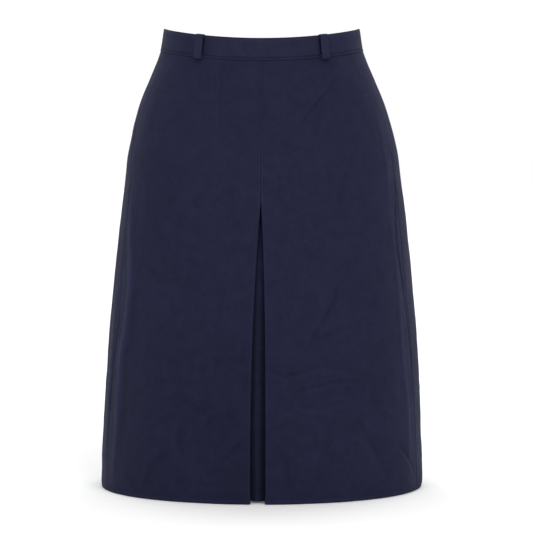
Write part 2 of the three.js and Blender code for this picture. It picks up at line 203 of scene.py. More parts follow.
@dataclass(frozen=True)
class Fold:
    """A soft trough in the cloth through places given as (drop, degrees from centre front).

    Width is the distance at which it has faded to about a third, and depth its deepest. A
    negative depth makes a ridge. Swell is the height of the ridge that runs beside a trough.
    """

    STEPS = (0.25, 0.5, 0.75, 1.0)  # shares of the way from one place to the next
    REACH = 3.4  # widths from its course at which a fold has faded to nothing
    CREST = Streak(1.0, 1.7, 1.2)  # the ridge beside it, in widths from its course

    places: tuple[tuple[float, float], ...]
    width: float
    depth: float
    swell: float = 0.0

    def line(self) -> np.ndarray:
        """The fold's course on the flat cloth, rounded, as rows of (across, down)."""
        points = np.array([(math.radians(t) * CLOTH_PER_RADIAN, d) for d, t in self.places])
        if len(points) < 3:
            return points
        knots = np.vstack([2 * points[0] - points[1], points, 2 * points[-1] - points[-2]])
        course = [points[0]]
        for before, start, end, after in zip(knots, knots[1:], knots[2:], knots[3:]):
            for t in self.STEPS:
                bend = (2 * before - 5 * start + 4 * end - after) * t**2
                twist = (3 * start - before - 3 * end + after) * t**3
                course.append(start + ((end - before) * t + bend + twist) / 2)
        return np.array(course)

    def draw(self, across: np.ndarray, down: np.ndarray) -> np.ndarray:
        """How far the fold draws the cloth in at places on the flat cloth.

        Args:
            across: places across the cloth.
            down: places down the cloth.

        Returns:
            Distance drawn in, negative where the cloth swells.
        """
        line, reach = self.line(), self.REACH * self.width
        (left, top), (right, bottom) = line.min(axis=0) - reach, line.max(axis=0) + reach
        near = (across > left) & (across < right) & (down > top) & (down < bottom)
        drawn = np.zeros(across.shape)
        u, v = across[near], down[near]
        lengths = np.hypot(*np.diff(line, axis=0).T)
        walked, nearest = 0.0, np.full(u.shape, 1e9)
        signed, along = np.zeros(u.shape), np.zeros(u.shape)
        for start, end, length in zip(line[:-1], line[1:], lengths):
            way = (end - start) / length
            passed = np.clip((u - start[0]) * way[0] + (v - start[1]) * way[1], 0, length)
            off_u, off_v = u - start[0] - passed * way[0], v - start[1] - passed * way[1]
            distance = np.hypot(off_u, off_v)
            closer = distance < nearest
            cross = np.sign(way[0] * off_v - way[1] * off_u)
            nearest = np.where(closer, distance, nearest)
            signed = np.where(closer, cross * distance, signed)
            along = np.where(closer, (walked + passed) / lengths.sum(), along)
            walked += length
        aside = signed / self.width
        trough = self.depth * np.exp(-(aside**2))
        drawn[near] = (1 - (2 * along - 1) ** 4) * (trough - self.swell * self.CREST.at(aside))
        return drawn


# The solids have the broad folds too; everything finer is only here.
BROAD_FOLDS = (
    Fold(((48, 47), (118, 17)), 11, 1.2),
    Fold(((328, 29), (409, 17)), 12, 1.8),
    Fold(((447, 8), (436, 38)), 11, 1.6),
    Fold(((488, 11), (466, 40)), 12, 1.8),
    Fold(((523, 38), (585, 52)), 13, 1.8),
    Fold(((498, -27), (528, -45)), 14, 1.5),
    Fold(((545, -30), (592, -47)), 15, 2.0),
    Fold(((60, 150), (128, 122)), 12, 1.4),
    Fold(((350, -150), (412, -128)), 14, 1.8),
    Fold(((452, 158), (436, 124)), 13, 1.8),
    Fold(((520, -160), (575, -136)), 15, 2.0),
)

FRONT_CREASES = (
    Fold(((46, 48), (72, 34.8), (94, 24.6), (126, 13.8)), 2.4, 0.8, 0.4),
    Fold(((164, 39), (190, 34.6), (220, 31)), 4.0, 0.5, 0.2),
    Fold(((150, 47), (173, 46.4)), 3.0, 0.35, 0.1),
    Fold(((234, 19), (258, 21.5)), 4.0, 0.4, 0.2),
    Fold(((310, 31), (335, 29), (350, 27.4), (376, 22.6), (398, 18.0), (418, 17)), 2.4, 0.65, 0.3),
    Fold(((402, 19), (390, 27.7), (384, 36)), 2.8, 0.45, 0.25),
    Fold(((432, 0), (447, 7), (444, 12), (437, 19.4), (436, 24)), 2.5, 0.6, 0.3),
    Fold(((436, 22), (438, 28), (443, 34), (450, 42)), 2.8, 0.3, 0.2),
    Fold(((479, 8), (467, 13.5), (461, 20), (456, 29), (459, 39)), 2.5, 0.6, 0.3),
    Fold(((509, 2.5), (494, 7.5), (488, 13), (491, 21), (501, 31)), 2.8, 0.5, 0.25),
    Fold(((496, 34), (523, 38.6), (548, 43), (574, 47), (590, 52)), 3.4, 0.45, 0.2),
    Fold(((446, 59.4), (494, 59)), 3.6, 0.4, 0.1),
    Fold(((548, 57), (569, 64), (592, 70)), 3.0, 0.9, 0.5),
    Fold(((548, 7.6), (598, 9.5)), 4.5, 0.5, 0.2),
    Fold(((424, -8.5), (395, -8.9)), 3.0, -0.35, 0.0),
    Fold(((32, -23), (70, -20.6), (122, -18.5)), 3.6, 0.4, 0.15),
    Fold(((354, -13.5), (380, -10)), 3.4, 0.4, 0.2),
    Fold(((420, -16.5), (448, -17.7)), 4.0, 0.35, 0.15),
    Fold(((480, -30), (488, -25.5), (493, -22), (490, -19), (480, -14)), 3.2, 0.45, 0.25),
    Fold(((506, -30), (542, -31)), 4.0, 0.5, 0.2),
    Fold(((530, -45), (515, -41), (500, -35)), 3.2, 0.4, 0.2),
    Fold(((552, -36), (578, -43.6), (604, -44.6)), 4.2, 0.7, 0.3),
    Fold(((534, -7), (560, -13.5)), 3.4, 0.4, 0.2),
    Fold(((590, -24), (595, -15)), 3.0, 0.35, 0.2),
    Fold(((214, -30), (231, -24)), 5.0, 0.35, 0.15),
    Fold(((300, -52), (318, -44), (330, -34)), 5.5, 0.35, 0.2),
)

BACK_CREASES = (
    Fold(((60, 152), (96, 136), (130, 121)), 3.6, 0.6, 0.3),
    Fold(((74, -140), (118, -122)), 4.5, 0.45, 0.2),
    Fold(((210, 128), (262, 136)), 5.0, 0.45, 0.25),
    Fold(((348, -152), (380, -140), (414, -127)), 3.2, 0.8, 0.4),
    Fold(((404, -130), (392, -120), (396, -108)), 3.0, 0.45, 0.25),
    Fold(((456, 162), (441, 150), (438, 134), (446, 118)), 3.2, 0.85, 0.45),
    Fold(((487, 150), (470, 138), (474, 122)), 3.0, 0.7, 0.35),
    Fold(((518, -163), (544, -150), (578, -134)), 4.0, 0.85, 0.4),
    Fold(((560, 112), (592, 104)), 3.6, 0.8, 0.4),
    Fold(((300, 95), (352, 88), (390, 90)), 5.0, 0.45, 0.25),
    Fold(((232, -92), (300, -86)), 5.5, 0.4, 0.2),
)

SIDE_RIDGES = (
    Fold(((100, 64), (160, 64.5), (220, 62.5), (290, 62)), 6.5, -0.5),
    Fold(((280, 63), (340, 63.5), (400, 62.5), (440, 63), (490, 65.2), (600, 65)), 6.0, -1.0),
    Fold(
        (
            (128, 68), (160, 71), (200, 70), (237, 67), (273, 65.2), (327, 67.6),
            (437, 70.5), (492, 70),
        ),
        3.0, 0.8,
    ),
    Fold(((90, 88), (200, 87), (300, 88), (420, 88), (500, 88)), 16.0, -0.6),
    Fold(
        (
            (610, -67), (545, -64.6), (490, -63.6), (436, -64), (400, -62), (340, -60.5),
            (300, -62.5), (210, -69),
        ),
        8.0, -1.7, -0.5,
    ),
    Fold(((300, -72), (350, -68), (423, -69.5), (500, -72), (590, -73)), 4.2, 0.65),
    Fold(((330, -76), (438, -75), (520, -76), (590, -78)), 6.5, -0.9),
    Fold(((619, 52), (618, 75), (618, 112)), 6.0, 1.9),
    Fold(((619, -54), (618, -75), (618, -112)), 6.0, 1.2),
)


@dataclass(frozen=True)
class Washing:
    """Short uneven creases all over, of the kind that washing leaves."""

    count: int = 150
    seed: int = 812
    highest: float = 45.0  # drop from which they lie
    spread: float = 560.0  # how much further down they go
    evenness: float = 0.8  # below 1 for more of them low down
    furthest: float = 175.0  # degrees from the centre front
    bend: float = 0.5  # radians by which each half may turn
    half: tuple[float, float] = (7, 20)  # half a crease's length, from and to
    width: tuple[float, float] = (2.4, 4.6)
    depth: tuple[float, float] = (0.12, 0.34)
    swell: float = 0.5  # share of the depth

    def creases(self) -> tuple[Fold, ...]:
        """Draws all the creases from the seed."""
        chance = np.random.default_rng(self.seed)
        creases = []
        for _ in range(self.count):
            drop = self.highest + self.spread * chance.random() ** self.evenness
            turn = chance.uniform(-self.furthest, self.furthest)
            heading = chance.uniform(0, math.pi)
            bend = chance.uniform(-self.bend, self.bend)
            half = chance.uniform(*self.half)
            places = []
            for step in (-1, 0, 1):
                way = heading + bend * step
                across, down = step * half * math.cos(way), step * half * math.sin(way)
                places.append((drop + down, turn + math.degrees(across / CLOTH_PER_RADIAN)))
            depth, width = chance.uniform(*self.depth), chance.uniform(*self.width)
            creases.append(Fold(tuple(places), width, depth, self.swell * depth))
        return tuple(creases)


FINE_CREASES = (*FRONT_CREASES, *BACK_CREASES, *SIDE_RIDGES, *Washing().creases())


@dataclass(frozen=True)
class Crumple:
    """Low uneven swells of washed cloth, smooth between the nodes of a grid."""

    NODES = 190  # nodes along each side of the grid
    ABOVE = 8  # rows of them that lie above the waist

    cell: float
    height: float
    seed: int

    def draw(self, across: np.ndarray, down: np.ndarray) -> np.ndarray:
        """How far the cloth is drawn in at places on the flat cloth.

        Args:
            across: places across the cloth.
            down: places down the cloth.

        Returns:
            Distance drawn in, of both signs.
        """
        nodes = np.random.default_rng(self.seed).uniform(-1, 1, (self.NODES, self.NODES))
        u, v = across / self.cell + self.NODES / 2, down / self.cell + self.ABOVE
        column, row = np.floor(u).astype(int), np.floor(v).astype(int)
        s, t = u - column, v - row
        s, t = s**3 * (6 * s * s - 15 * s + 10), t**3 * (6 * t * t - 15 * t + 10)
        upper = nodes[row, column] * (1 - s) + nodes[row, column + 1] * s
        lower = nodes[row + 1, column] * (1 - s) + nodes[row + 1, column + 1] * s
        return self.height * (upper * (1 - t) + lower * t)


@dataclass
class WornForm:
    """The filled-out form that every cloth piece lies on."""

    rings: tuple[Ring, ...] = RINGS
    relief: tuple[Fold | Crumple, ...] = (
        *BROAD_FOLDS,
        *FINE_CREASES,
        Crumple(30.0, 0.5, 4),
        Crumple(13.0, 0.16, 5),
        Crumple(7.0, 0.05, 6),
    )
    side_rise: float = 12.3  # waist edge, sides above the front
    pointed: float = 0.2  # share of that rise which is pointed at the sides
    back_fall: float = 4.0  # waist edge, centre back below the front
    rise_fade: float = 300.0  # drop at which the rings have become level
    loose: Ramp = Ramp(24, 44)  # drops over which the folds reach their full depth
    fade_per_depth: float = 0.26  # painted shade in creases and painted highlight on ridges: share of brightness per mm of a crease's depth
    darkest: float = -0.3  # limits of that share
    palest: float = 0.32

    def value(self, column: str, drop: np.ndarray) -> np.ndarray:
        """One column of the rings, carried smoothly from ring to ring.

        Args:
            column: name of the ring's field.
            drop: distances below the waist.

        Returns:
            The field's value at each drop.
        """
        drop = np.asarray(drop, float)
        drops = np.array([ring.drop for ring in self.rings], float)
        values = np.array([getattr(ring, column) for ring in self.rings], float)
        last = len(drops) - 1
        index = np.arange(last + 1)
        low, high = np.maximum(index - 1, 0), np.minimum(index + 1, last)
        slopes = (values[high] - values[low]) / (drops[high] - drops[low])
        row = np.clip(np.searchsorted(drops, drop, side="left") - 1, 0, last - 1)
        span = drops[row + 1] - drops[row]
        t = (drop - drops[row]) / span
        ease = t * t * (3 - 2 * t)
        bulge = t * (1 - t) * span * ((1 - t) * slopes[row] - t * slopes[row + 1])
        return values[row] * (1 - ease) + values[row + 1] * ease + bulge

    def rise(self, drop: np.ndarray, turn: np.ndarray) -> np.ndarray:
        """Height of the waist edge's sweep above a level ring."""
        facing = np.cos(turn)
        dip = self.pointed * np.abs(facing) + (1 - self.pointed) * facing**2
        fall = np.where(facing < 0, self.back_fall * facing**2, 0)
        return (self.side_rise * (1 - dip) - fall) * (1 - smoothstep(drop, 0, self.rise_fade))

    def depth_at(self, drop: np.ndarray, turn: np.ndarray) -> np.ndarray:
        """Depth of the ring on the half that an angle faces."""
        return np.where(np.cos(turn) > 0, self.value("front", drop), self.value("back", drop))

    def normal(self, drop: np.ndarray, turn: np.ndarray) -> np.ndarray:
        """Outward direction in plan, as rows of (x, y)."""
        across = np.sin(turn) / self.value("half", drop)
        along = -np.cos(turn) / self.depth_at(drop, turn)
        length = np.hypot(across, along)
        return np.stack([across / length, along / length], axis=-1)

    def drawn_in(self, drop: np.ndarray, turn: np.ndarray) -> np.ndarray:
        """How far all the folds together draw the form in; nothing under the band."""
        across, down = turn * CLOTH_PER_RADIAN, drop
        drawn = sum(part.draw(across, down) for part in self.relief)
        return drawn * self.loose.at(drop)

    def turn_of(self, points: np.ndarray, drop: np.ndarray) -> np.ndarray:
        """Angles of points that lie on the form, or close to it."""
        across = (points[..., 0] - self.value("shift", drop)) / self.value("half", drop)
        front, back = self.value("front", drop), self.value("back", drop)
        along = -points[..., 1] / np.where(points[..., 1] < 0, front, back)
        return np.arctan2(across, along)

    def fading(self, drop: np.ndarray, turn: np.ndarray) -> np.ndarray:
        """Painted shade in the creases and painted highlight on their ridges, as a share of
        brightness.
        """
        across, down = np.broadcast_arrays(turn * CLOTH_PER_RADIAN, drop)
        drawn = sum(crease.draw(across, down) for crease in FINE_CREASES)
        share = np.clip(-self.fade_per_depth * drawn, self.darkest, self.palest)
        return share * self.loose.at(drop)

    def points(self, drop: np.ndarray, turn: np.ndarray, inward: np.ndarray) -> np.ndarray:
        """Points of the form, moved inward from the outer face of the panels.

        Args:
            drop: distances below the waist.
            turn: angles from the centre front, in radians.
            inward: distances inward.

        Returns:
            Rows of (x, y, z) in millimetres.
        """
        given = (np.asarray(value, float) for value in (drop, turn, inward))
        drop, turn, inward = np.broadcast_arrays(*given)
        normal = self.normal(drop, turn)
        draw = inward + self.drawn_in(drop, turn)
        x = self.value("shift", drop) + self.value("half", drop) * np.sin(turn)
        y = -self.depth_at(drop, turn) * np.cos(turn)
        z = -drop + self.rise(drop, turn)
        return np.stack([x - draw * normal[..., 0], y - draw * normal[..., 1], z], axis=-1)

    def turn_for(self, distance: float, drop: np.ndarray, turn: np.ndarray) -> np.ndarray:
        """Angle that covers a distance along the ring."""
        across = self.value("half", drop) * np.cos(turn)
        return distance / np.hypot(across, self.depth_at(drop, turn) * np.sin(turn))


# ---------------------------------------------------------------- meshes


def mesh_object(name: str, mesh: bpy.types.Mesh) -> bpy.types.Object:
    """Links a new object that holds a mesh, at the origin."""
    piece = bpy.data.objects.new(name, mesh)
    bpy.context.scene.collection.objects.link(piece)
    return piece


def baked_mesh(piece: bpy.types.Object, name: str) -> bpy.types.Mesh:
    """The mesh that an object's modifiers make of it."""
    seen = piece.evaluated_get(bpy.context.evaluated_depsgraph_get())
    mesh = bpy.data.meshes.new_from_object(seen)
    mesh.name = name
    return mesh


def shade_smooth(mesh: bpy.types.Mesh, degrees: float) -> None:
    """Shades a mesh smooth, with edges sharper than an angle left sharp."""
    mesh.polygons.foreach_set("use_smooth", [True] * len(mesh.polygons))
    mesh.update()
    mesh.set_sharp_from_angle(angle=math.radians(degrees))


def add_cloth_map(mesh: bpy.types.Mesh, flat: np.ndarray) -> None:
    """Gives a mesh its "cloth" UV map from each point's place on the flat cloth, in centimetres."""
    corners = np.empty(len(mesh.loops), np.int32)
    mesh.loops.foreach_get("vertex_index", corners)
    mesh.uv_layers.new(name="cloth").data.foreach_set("uv", flat[corners].ravel())


@dataclass
class Wall:
    """A closed wall of cloth between two grids of points, with its cloth coordinates.

    Points are (rows, columns, 3) in millimetres. Cloth is (rows, columns, 2), the place on the
    flat cloth in millimetres. Wear and shading is (rows, columns), the share of brightness
    gained: worn edges and painted highlights above 0, painted shade below 0.
    """

    outer: np.ndarray
    inner: np.ndarray
    cloth: np.ndarray
    wear: np.ndarray
    sharp_from: float = 60.0  # degrees from which an edge is left sharp

    def faces(self) -> np.ndarray:
        """Quads of the two faces and the four edges."""
        rows, columns = self.outer.shape[:2]
        grid = np.arange(rows * columns).reshape(rows, columns)
        back = grid + grid.size
        front = np.stack([grid[:-1, :-1], grid[1:, :-1], grid[1:, 1:], grid[:-1, 1:]], -1)
        quads = [front.reshape(-1, 4), front.reshape(-1, 4)[:, ::-1] + grid.size]
        for rim, behind, flip in (
            (grid[:, 0], back[:, 0], False),
            (grid[:, -1], back[:, -1], True),
            (grid[0], back[0], True),
            (grid[-1], back[-1], False),
        ):
            quad = np.stack([rim[:-1], behind[:-1], behind[1:], rim[1:]], -1)
            quads.append(quad[:, ::-1] if flip else quad)
        return np.concatenate(quads)

    def build(self, name: str) -> bpy.types.Object:
        """Makes the wall's object.

        Args:
            name: the piece's name.

        Returns:
            The object, smooth, facing outward, with a "cloth" UV map and an attribute of worn edges
            and painted light and shade.
        """
        points = np.concatenate([self.outer.reshape(-1, 3), self.inner.reshape(-1, 3)])
        faces = self.faces()
        a, b, c, d = (points[faces[:, k]] for k in range(4))
        volume = np.einsum("ij,ij->i", a, np.cross(b, c) + np.cross(c, d))
        if volume.sum() < 0:
            faces = faces[:, ::-1]
        mesh = bpy.data.meshes.new(name)
        mesh.from_pydata((points * MM).tolist(), [], faces.tolist())
        add_cloth_map(mesh, np.concatenate([self.cloth.reshape(-1, 2)] * 2) / 10)
        wear = mesh.attributes.new("wear", "FLOAT", "POINT")
        wear.data.foreach_set("value", np.concatenate([self.wear.ravel()] * 2))
        shade_smooth(mesh, self.sharp_from)
        return mesh_object(name, mesh)


# ---------------------------------------------------------------- finishes


@dataclass
class NodeTree:
    """Short way to add and join the nodes of a material, a world or a modifier."""

    tree: bpy.types.NodeTree

    def feed(self, socket: bpy.types.NodeSocket, value: object) -> None:
        """Gives an input a constant, or links another node's output to it."""
        if isinstance(value, bpy.types.NodeSocket):
            self.tree.links.new(value, socket)
        else:
            socket.default_value = value

    def add(self, kind: str, **values: object) -> bpy.types.Node:
        """Adds a node.

        Args:
            kind: the node's type.
            **values: its properties and, for names that are inputs, what feeds them.

        Returns:
            The node.
        """
        node = self.tree.nodes.new(kind)
        for name, value in values.items():
            if hasattr(node, name):
                setattr(node, name, value)
            else:
                self.feed(node.inputs[name.replace("_", " ")], value)
        return node

    def math(self, operation: str, *values: object, kind: str = "Math") -> bpy.types.NodeSocket:
        """Adds a Math or VectorMath node.

        Args:
            operation: the node's operation.
            *values: numbers, vectors or sockets, in the order of its inputs.
            kind: "Math" or "VectorMath".

        Returns:
            The result's socket.
        """
        node = self.add(f"ShaderNode{kind}", operation=operation)
        for socket, value in zip(node.inputs, values):
            self.feed(socket, value)
        return node.outputs[0]

    def scaled(self, vector: object, scale: object) -> bpy.types.NodeSocket:
        """A vector or a colour times a number."""
        node = self.add("ShaderNodeVectorMath", operation="SCALE", Vector=vector, Scale=scale)
        return node.outputs[0]

    def noise(self, scale: float, detail: float, roughness: float) -> bpy.types.NodeSocket:
        """Noise in the object's own space, its scale in patches a metre."""
        place = self.add("ShaderNodeTexCoord").outputs["Object"]
        node = self.add("ShaderNodeTexNoise", Vector=place, Scale=scale, Detail=detail)
        self.feed(node.inputs["Roughness"], roughness)
        return node.outputs[0]

    def emboss(self, shader: bpy.types.Node, height: bpy.types.NodeSocket, unit: float) -> None:
        """Gives a shader a relief, with heights in units of so many metres."""
        relief = self.add("ShaderNodeBump", Height=height, Distance=unit)
        self.feed(shader.inputs["Normal"], relief.outputs[0])


Layers = tuple[tuple[float, float], ...]  # pairs of a scale, in patches a metre, and a share


@dataclass(frozen=True)
class Finish:
    """A finish with uneven colour; its subclasses add what the surface shows up close."""

    name: str
    slot: str
    colour: tuple[float, float, float]
    roughness: float
    gloss: float = 0.1
    patches: Layers = ()  # shares by which the brightness goes up and down
    wear: float = 0.0  # how much of the attribute of wear and painted light and shade shows in the brightness

    def material(self) -> bpy.types.Material:
        """Builds the material.

        Returns:
            The material, with its uneven colour and what its kind adds.
        """
        material = bpy.data.materials.new(self.name)
        material.use_nodes = True
        material.node_tree.nodes.clear()
        tree = NodeTree(material.node_tree)
        shader = tree.add(
            "ShaderNodeBsdfPrincipled",
            Base_Color=tree.scaled(self.colour, self.brightness(tree)),
            Roughness=self.roughness,
            Specular_IOR_Level=self.gloss,
        )
        self.detail(tree, shader)
        tree.add("ShaderNodeOutputMaterial", Surface=shader.outputs["BSDF"])
        return material

    def brightness(self, tree: NodeTree) -> bpy.types.NodeSocket | float:
        """Brightness that goes up and down in patches, up on worn edges and painted highlights, and
        down in painted shade.
        """
        bright = 1.0
        for scale, share in self.patches:
            swing = tree.math("SUBTRACT", tree.noise(scale, 3.0, 0.6), 0.5)
            bright = tree.math("ADD", bright, tree.math("MULTIPLY", swing, 2 * share))
        if self.wear:
            brightening = tree.add("ShaderNodeAttribute", attribute_name="wear").outputs["Fac"]
            bright = tree.math("ADD", bright, tree.math("MULTIPLY", brightening, self.wear))
        return bright

    def detail(self, tree: NodeTree, shader: bpy.types.Node) -> None:
        """Adds what only this kind of finish has; a plain one has nothing more."""


@dataclass(frozen=True)
class ClothFinish(Finish):
    """Woven cotton: yarn relief from the flat cloth's coordinates, nap, and washed patches."""

    gloss: float = 0.08
    patches: Layers = ((9.0, 0.12), (60.0, 0.25), (190.0, 0.20), (900.0, 0.10))
    wear: float = 1.0
    weave: Weave = Weave.TWILL
    yarn: float = 0.55  # yarn spacing, mm
    relief: float = 0.05  # height of a yarn, mm
    warp_share: float = 0.45  # relief of the warp yarns against that of the ribs
    crumple: float = 0.12  # height of the fine crumple, mm
    crumple_layers: Layers = ((95.0, 1.0), (330.0, 0.35))  # shares of that height
    sheen: float = 0.05
    sheen_roughness: float = 0.4
    sheen_tint: tuple[float, float, float] = (0.62, 0.66, 0.95)

    def detail(self, tree: NodeTree, shader: bpy.types.Node) -> None:
        """Adds the nap, and the yarns and the fine crumple as relief.

        Args:
            tree: the material's tree.
            shader: its shader.
        """
        tree.feed(shader.inputs["Sheen Weight"], self.sheen)
        tree.feed(shader.inputs["Sheen Roughness"], self.sheen_roughness)
        tree.feed(shader.inputs["Sheen Tint"], (*self.sheen_tint, 1))
        flat = tree.add("ShaderNodeUVMap", uv_map="cloth").outputs[0]
        axes = tree.add("ShaderNodeSeparateXYZ", Vector=flat).outputs
        turns = 2 * math.pi / (self.yarn / 10)
        weft, warp = (tree.math("MULTIPLY", axes[k], turns) for k in range(2))
        diagonal = tree.math("ADD", weft, tree.math("MULTIPLY", warp, self.weave.value))
        threads = tree.math("MULTIPLY", tree.math("SINE", warp), self.warp_share)
        woven = tree.math("ADD", tree.math("SINE", diagonal), threads)
        height = tree.math("MULTIPLY", woven, self.relief)
        for scale, share in self.crumple_layers:
            swell = tree.math("MULTIPLY", tree.noise(scale, 4.0, 0.55), self.crumple * share)
            height = tree.math("ADD", height, swell)
        tree.emboss(shader, height, MM)


@dataclass(frozen=True)
class MetalFinish(Finish):
    """Enamelled zip metal, worn a little on its faces."""

    gloss: float = 0.5
    patches: Layers = ((400.0, 0.2), (2500.0, 0.15))
    metallic: float = 0.6
    grain: float = 1800.0  # grains a metre
    grain_height: float = 0.02  # mm

    def detail(self, tree: NodeTree, shader: bpy.types.Node) -> None:
        """Makes it metal with a fine grain."""
        tree.feed(shader.inputs["Metallic"], self.metallic)
        tree.emboss(shader, tree.noise(self.grain, 2.0, 0.5), self.grain_height * MM)


TWILL = ClothFinish("navy_twill", "twill", (0.0160, 0.0171, 0.0430), 0.9)
# the body twill made paler for the band and loops: painted light, for the light they catch
LIT_BAND_TWILL = ClothFinish(
    "navy_band_twill", "band_twill", (0.0192, 0.0203, 0.0482), 0.88, crumple=0.08
)
TAPE = ClothFinish(
    "zip_tape_weave", "zip_tape", (0.0121, 0.0128, 0.0312), 0.8,
    wear=0.0, weave=Weave.PLAIN, yarn=0.8,
)
TWIST = ((1500.0, 0.25),)
THREAD = Finish("navy_thread", "twill", (0.0114, 0.0122, 0.0334), 0.85, patches=TWIST)
COIL = Finish("zip_coil_nylon", "zip_tape", (0.012, 0.0125, 0.028), 0.35, patches=TWIST)
ZIP_METAL = MetalFinish("zip_enamel", "zip_metal", (0.03, 0.031, 0.045), 0.38)
FLOOR = Finish("studio_floor", "floor", (0.98, 0.98, 0.98), 0.95, gloss=0.0, patches=((3.0, 0.01),))


@dataclass
class Dresser:
    """Keeps one material for each finish and puts it on pieces."""

    made: dict[str, bpy.types.Material] = field(default_factory=dict)

    def material(self, finish: Finish) -> bpy.types.Material:
        """The finish's material, made once."""
        if finish.name not in self.made:
            self.made[finish.name] = finish.material()
        return self.made[finish.name]

    def dress(self, piece: bpy.types.Object, finish: Finish, body: str) -> bpy.types.Object:
        """Gives a piece its finish and the body that it rides on.

        Args:
            piece: the piece.
            finish: its finish.
            body: name of the body.

        Returns:
            The piece.
        """
        piece.data.materials.clear()
        piece.data.materials.append(self.material(finish))
        if "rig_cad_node" not in piece:
            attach(piece, body)
        return piece


DRESSER = Dresser()
BODY = "skirt"


# ---------------------------------------------------------------- thread


@dataclass
class StitchRun:
    """Rows of machine stitches along lines on the cloth, made by a node tree."""

    pitch: float = 3.0
    length: float = 2.3
    thickness: float = 0.38
    wander: float = 0.06  # radians that a stitch may turn off its line
    seed: int = 7

    def settings(self, finish: Finish) -> dict[str, tuple[str, object]]:
        """The node tree's inputs, each with the kind of its socket and its value."""
        return {
            "Pitch": ("Float", self.pitch * MM),
            "Length": ("Float", self.length * MM),
            "Thickness": ("Float", self.thickness * MM),
            "Wander": ("Float", self.wander),
            "Seed": ("Int", self.seed),
            "Material": ("Material", DRESSER.material(finish)),
        }

    def tree(self, settings: dict[str, tuple[str, object]]) -> bpy.types.GeometryNodeTree:
        """Builds the tree that lays stitches along the edges of a mesh.

        Args:
            settings: the tree's inputs, from settings().

        Returns:
            The tree.
        """
        group = bpy.data.node_groups.new("stitches", "GeometryNodeTree")
        face = group.interface
        for way in ("INPUT", "OUTPUT"):
            face.new_socket("Geometry", in_out=way, socket_type="NodeSocketGeometry")
        for name, (kind, _) in settings.items():
            face.new_socket(name, in_out="INPUT", socket_type=f"NodeSocket{kind}")
        tree = NodeTree(group)
        add, given = tree.add, tree.add("NodeGroupInput").outputs
        curve = add("GeometryNodeMeshToCurve", Mesh=given["Geometry"]).outputs[0]
        even = add("GeometryNodeResampleCurve", mode="LENGTH", Curve=curve, Length=given["Pitch"])
        grain = add("GeometryNodeMeshUVSphere", Segments=6, Rings=5, Radius=0.5)
        thick, most = given["Thickness"], tree.scaled((1, 1, 1), given["Wander"])
        size = add("ShaderNodeCombineXYZ", X=thick, Y=thick, Z=given["Length"])
        least = tree.scaled(most, -1)
        kind, seed = "FLOAT_VECTOR", given["Seed"]
        stray = add("FunctionNodeRandomValue", data_type=kind, Min=least, Max=most, Seed=seed)
        course = add("GeometryNodeInputTangent").outputs[0]
        heading = tree.math("ADD", course, stray.outputs[0], kind="VectorMath")
        aim = add("FunctionNodeAlignRotationToVector", axis="Z", Vector=heading)
        placed = add(
            "GeometryNodeInstanceOnPoints",
            Points=even.outputs[0],
            Instance=grain.outputs["Mesh"],
            Rotation=aim.outputs[0],
            Scale=size.outputs[0],
        )
        real = add("GeometryNodeRealizeInstances", Geometry=placed.outputs[0])
        laid = add("GeometryNodeSetShadeSmooth", Geometry=real.outputs[0]).outputs[0]
        dressed = add("GeometryNodeSetMaterial", Geometry=laid, Material=given["Material"])
        add("NodeGroupOutput", Geometry=dressed.outputs[0])
        return group

    def sew(self, name: str, lines: list[np.ndarray], finish: Finish) -> bpy.types.Object:
        """Lays stitches along lines.

        Args:
            name: the piece's name.
            lines: arrays of points in millimetres, one for each row of stitches.
            finish: the thread's finish.

        Returns:
            The thread as one plain mesh.
        """
        points, edges = [], []
        for line in lines:
            edges += [(len(points) + k, len(points) + k + 1) for k in range(len(line) - 1)]
            points += (line * MM).tolist()
        guide = bpy.data.meshes.new(name + "_line")
        guide.from_pydata(points, edges, [])
        holder = mesh_object(name + "_line", guide)
        settings = self.settings(finish)
        modifier = holder.modifiers.new("stitches", "NODES")
        modifier.node_group = self.tree(settings)
        for item in modifier.node_group.interface.items_tree:
            if item.in_out == "INPUT" and item.name in settings:
                modifier[item.identifier] = settings[item.name][1]
        mesh = baked_mesh(holder, name)
        bpy.data.objects.remove(holder)
        return DRESSER.dress(mesh_object(name, mesh), finish, BODY)


# ---------------------------------------------------------------- panels


Waves = tuple[tuple[float, float, float], ...]  # length of a radian of a wave, height and phase


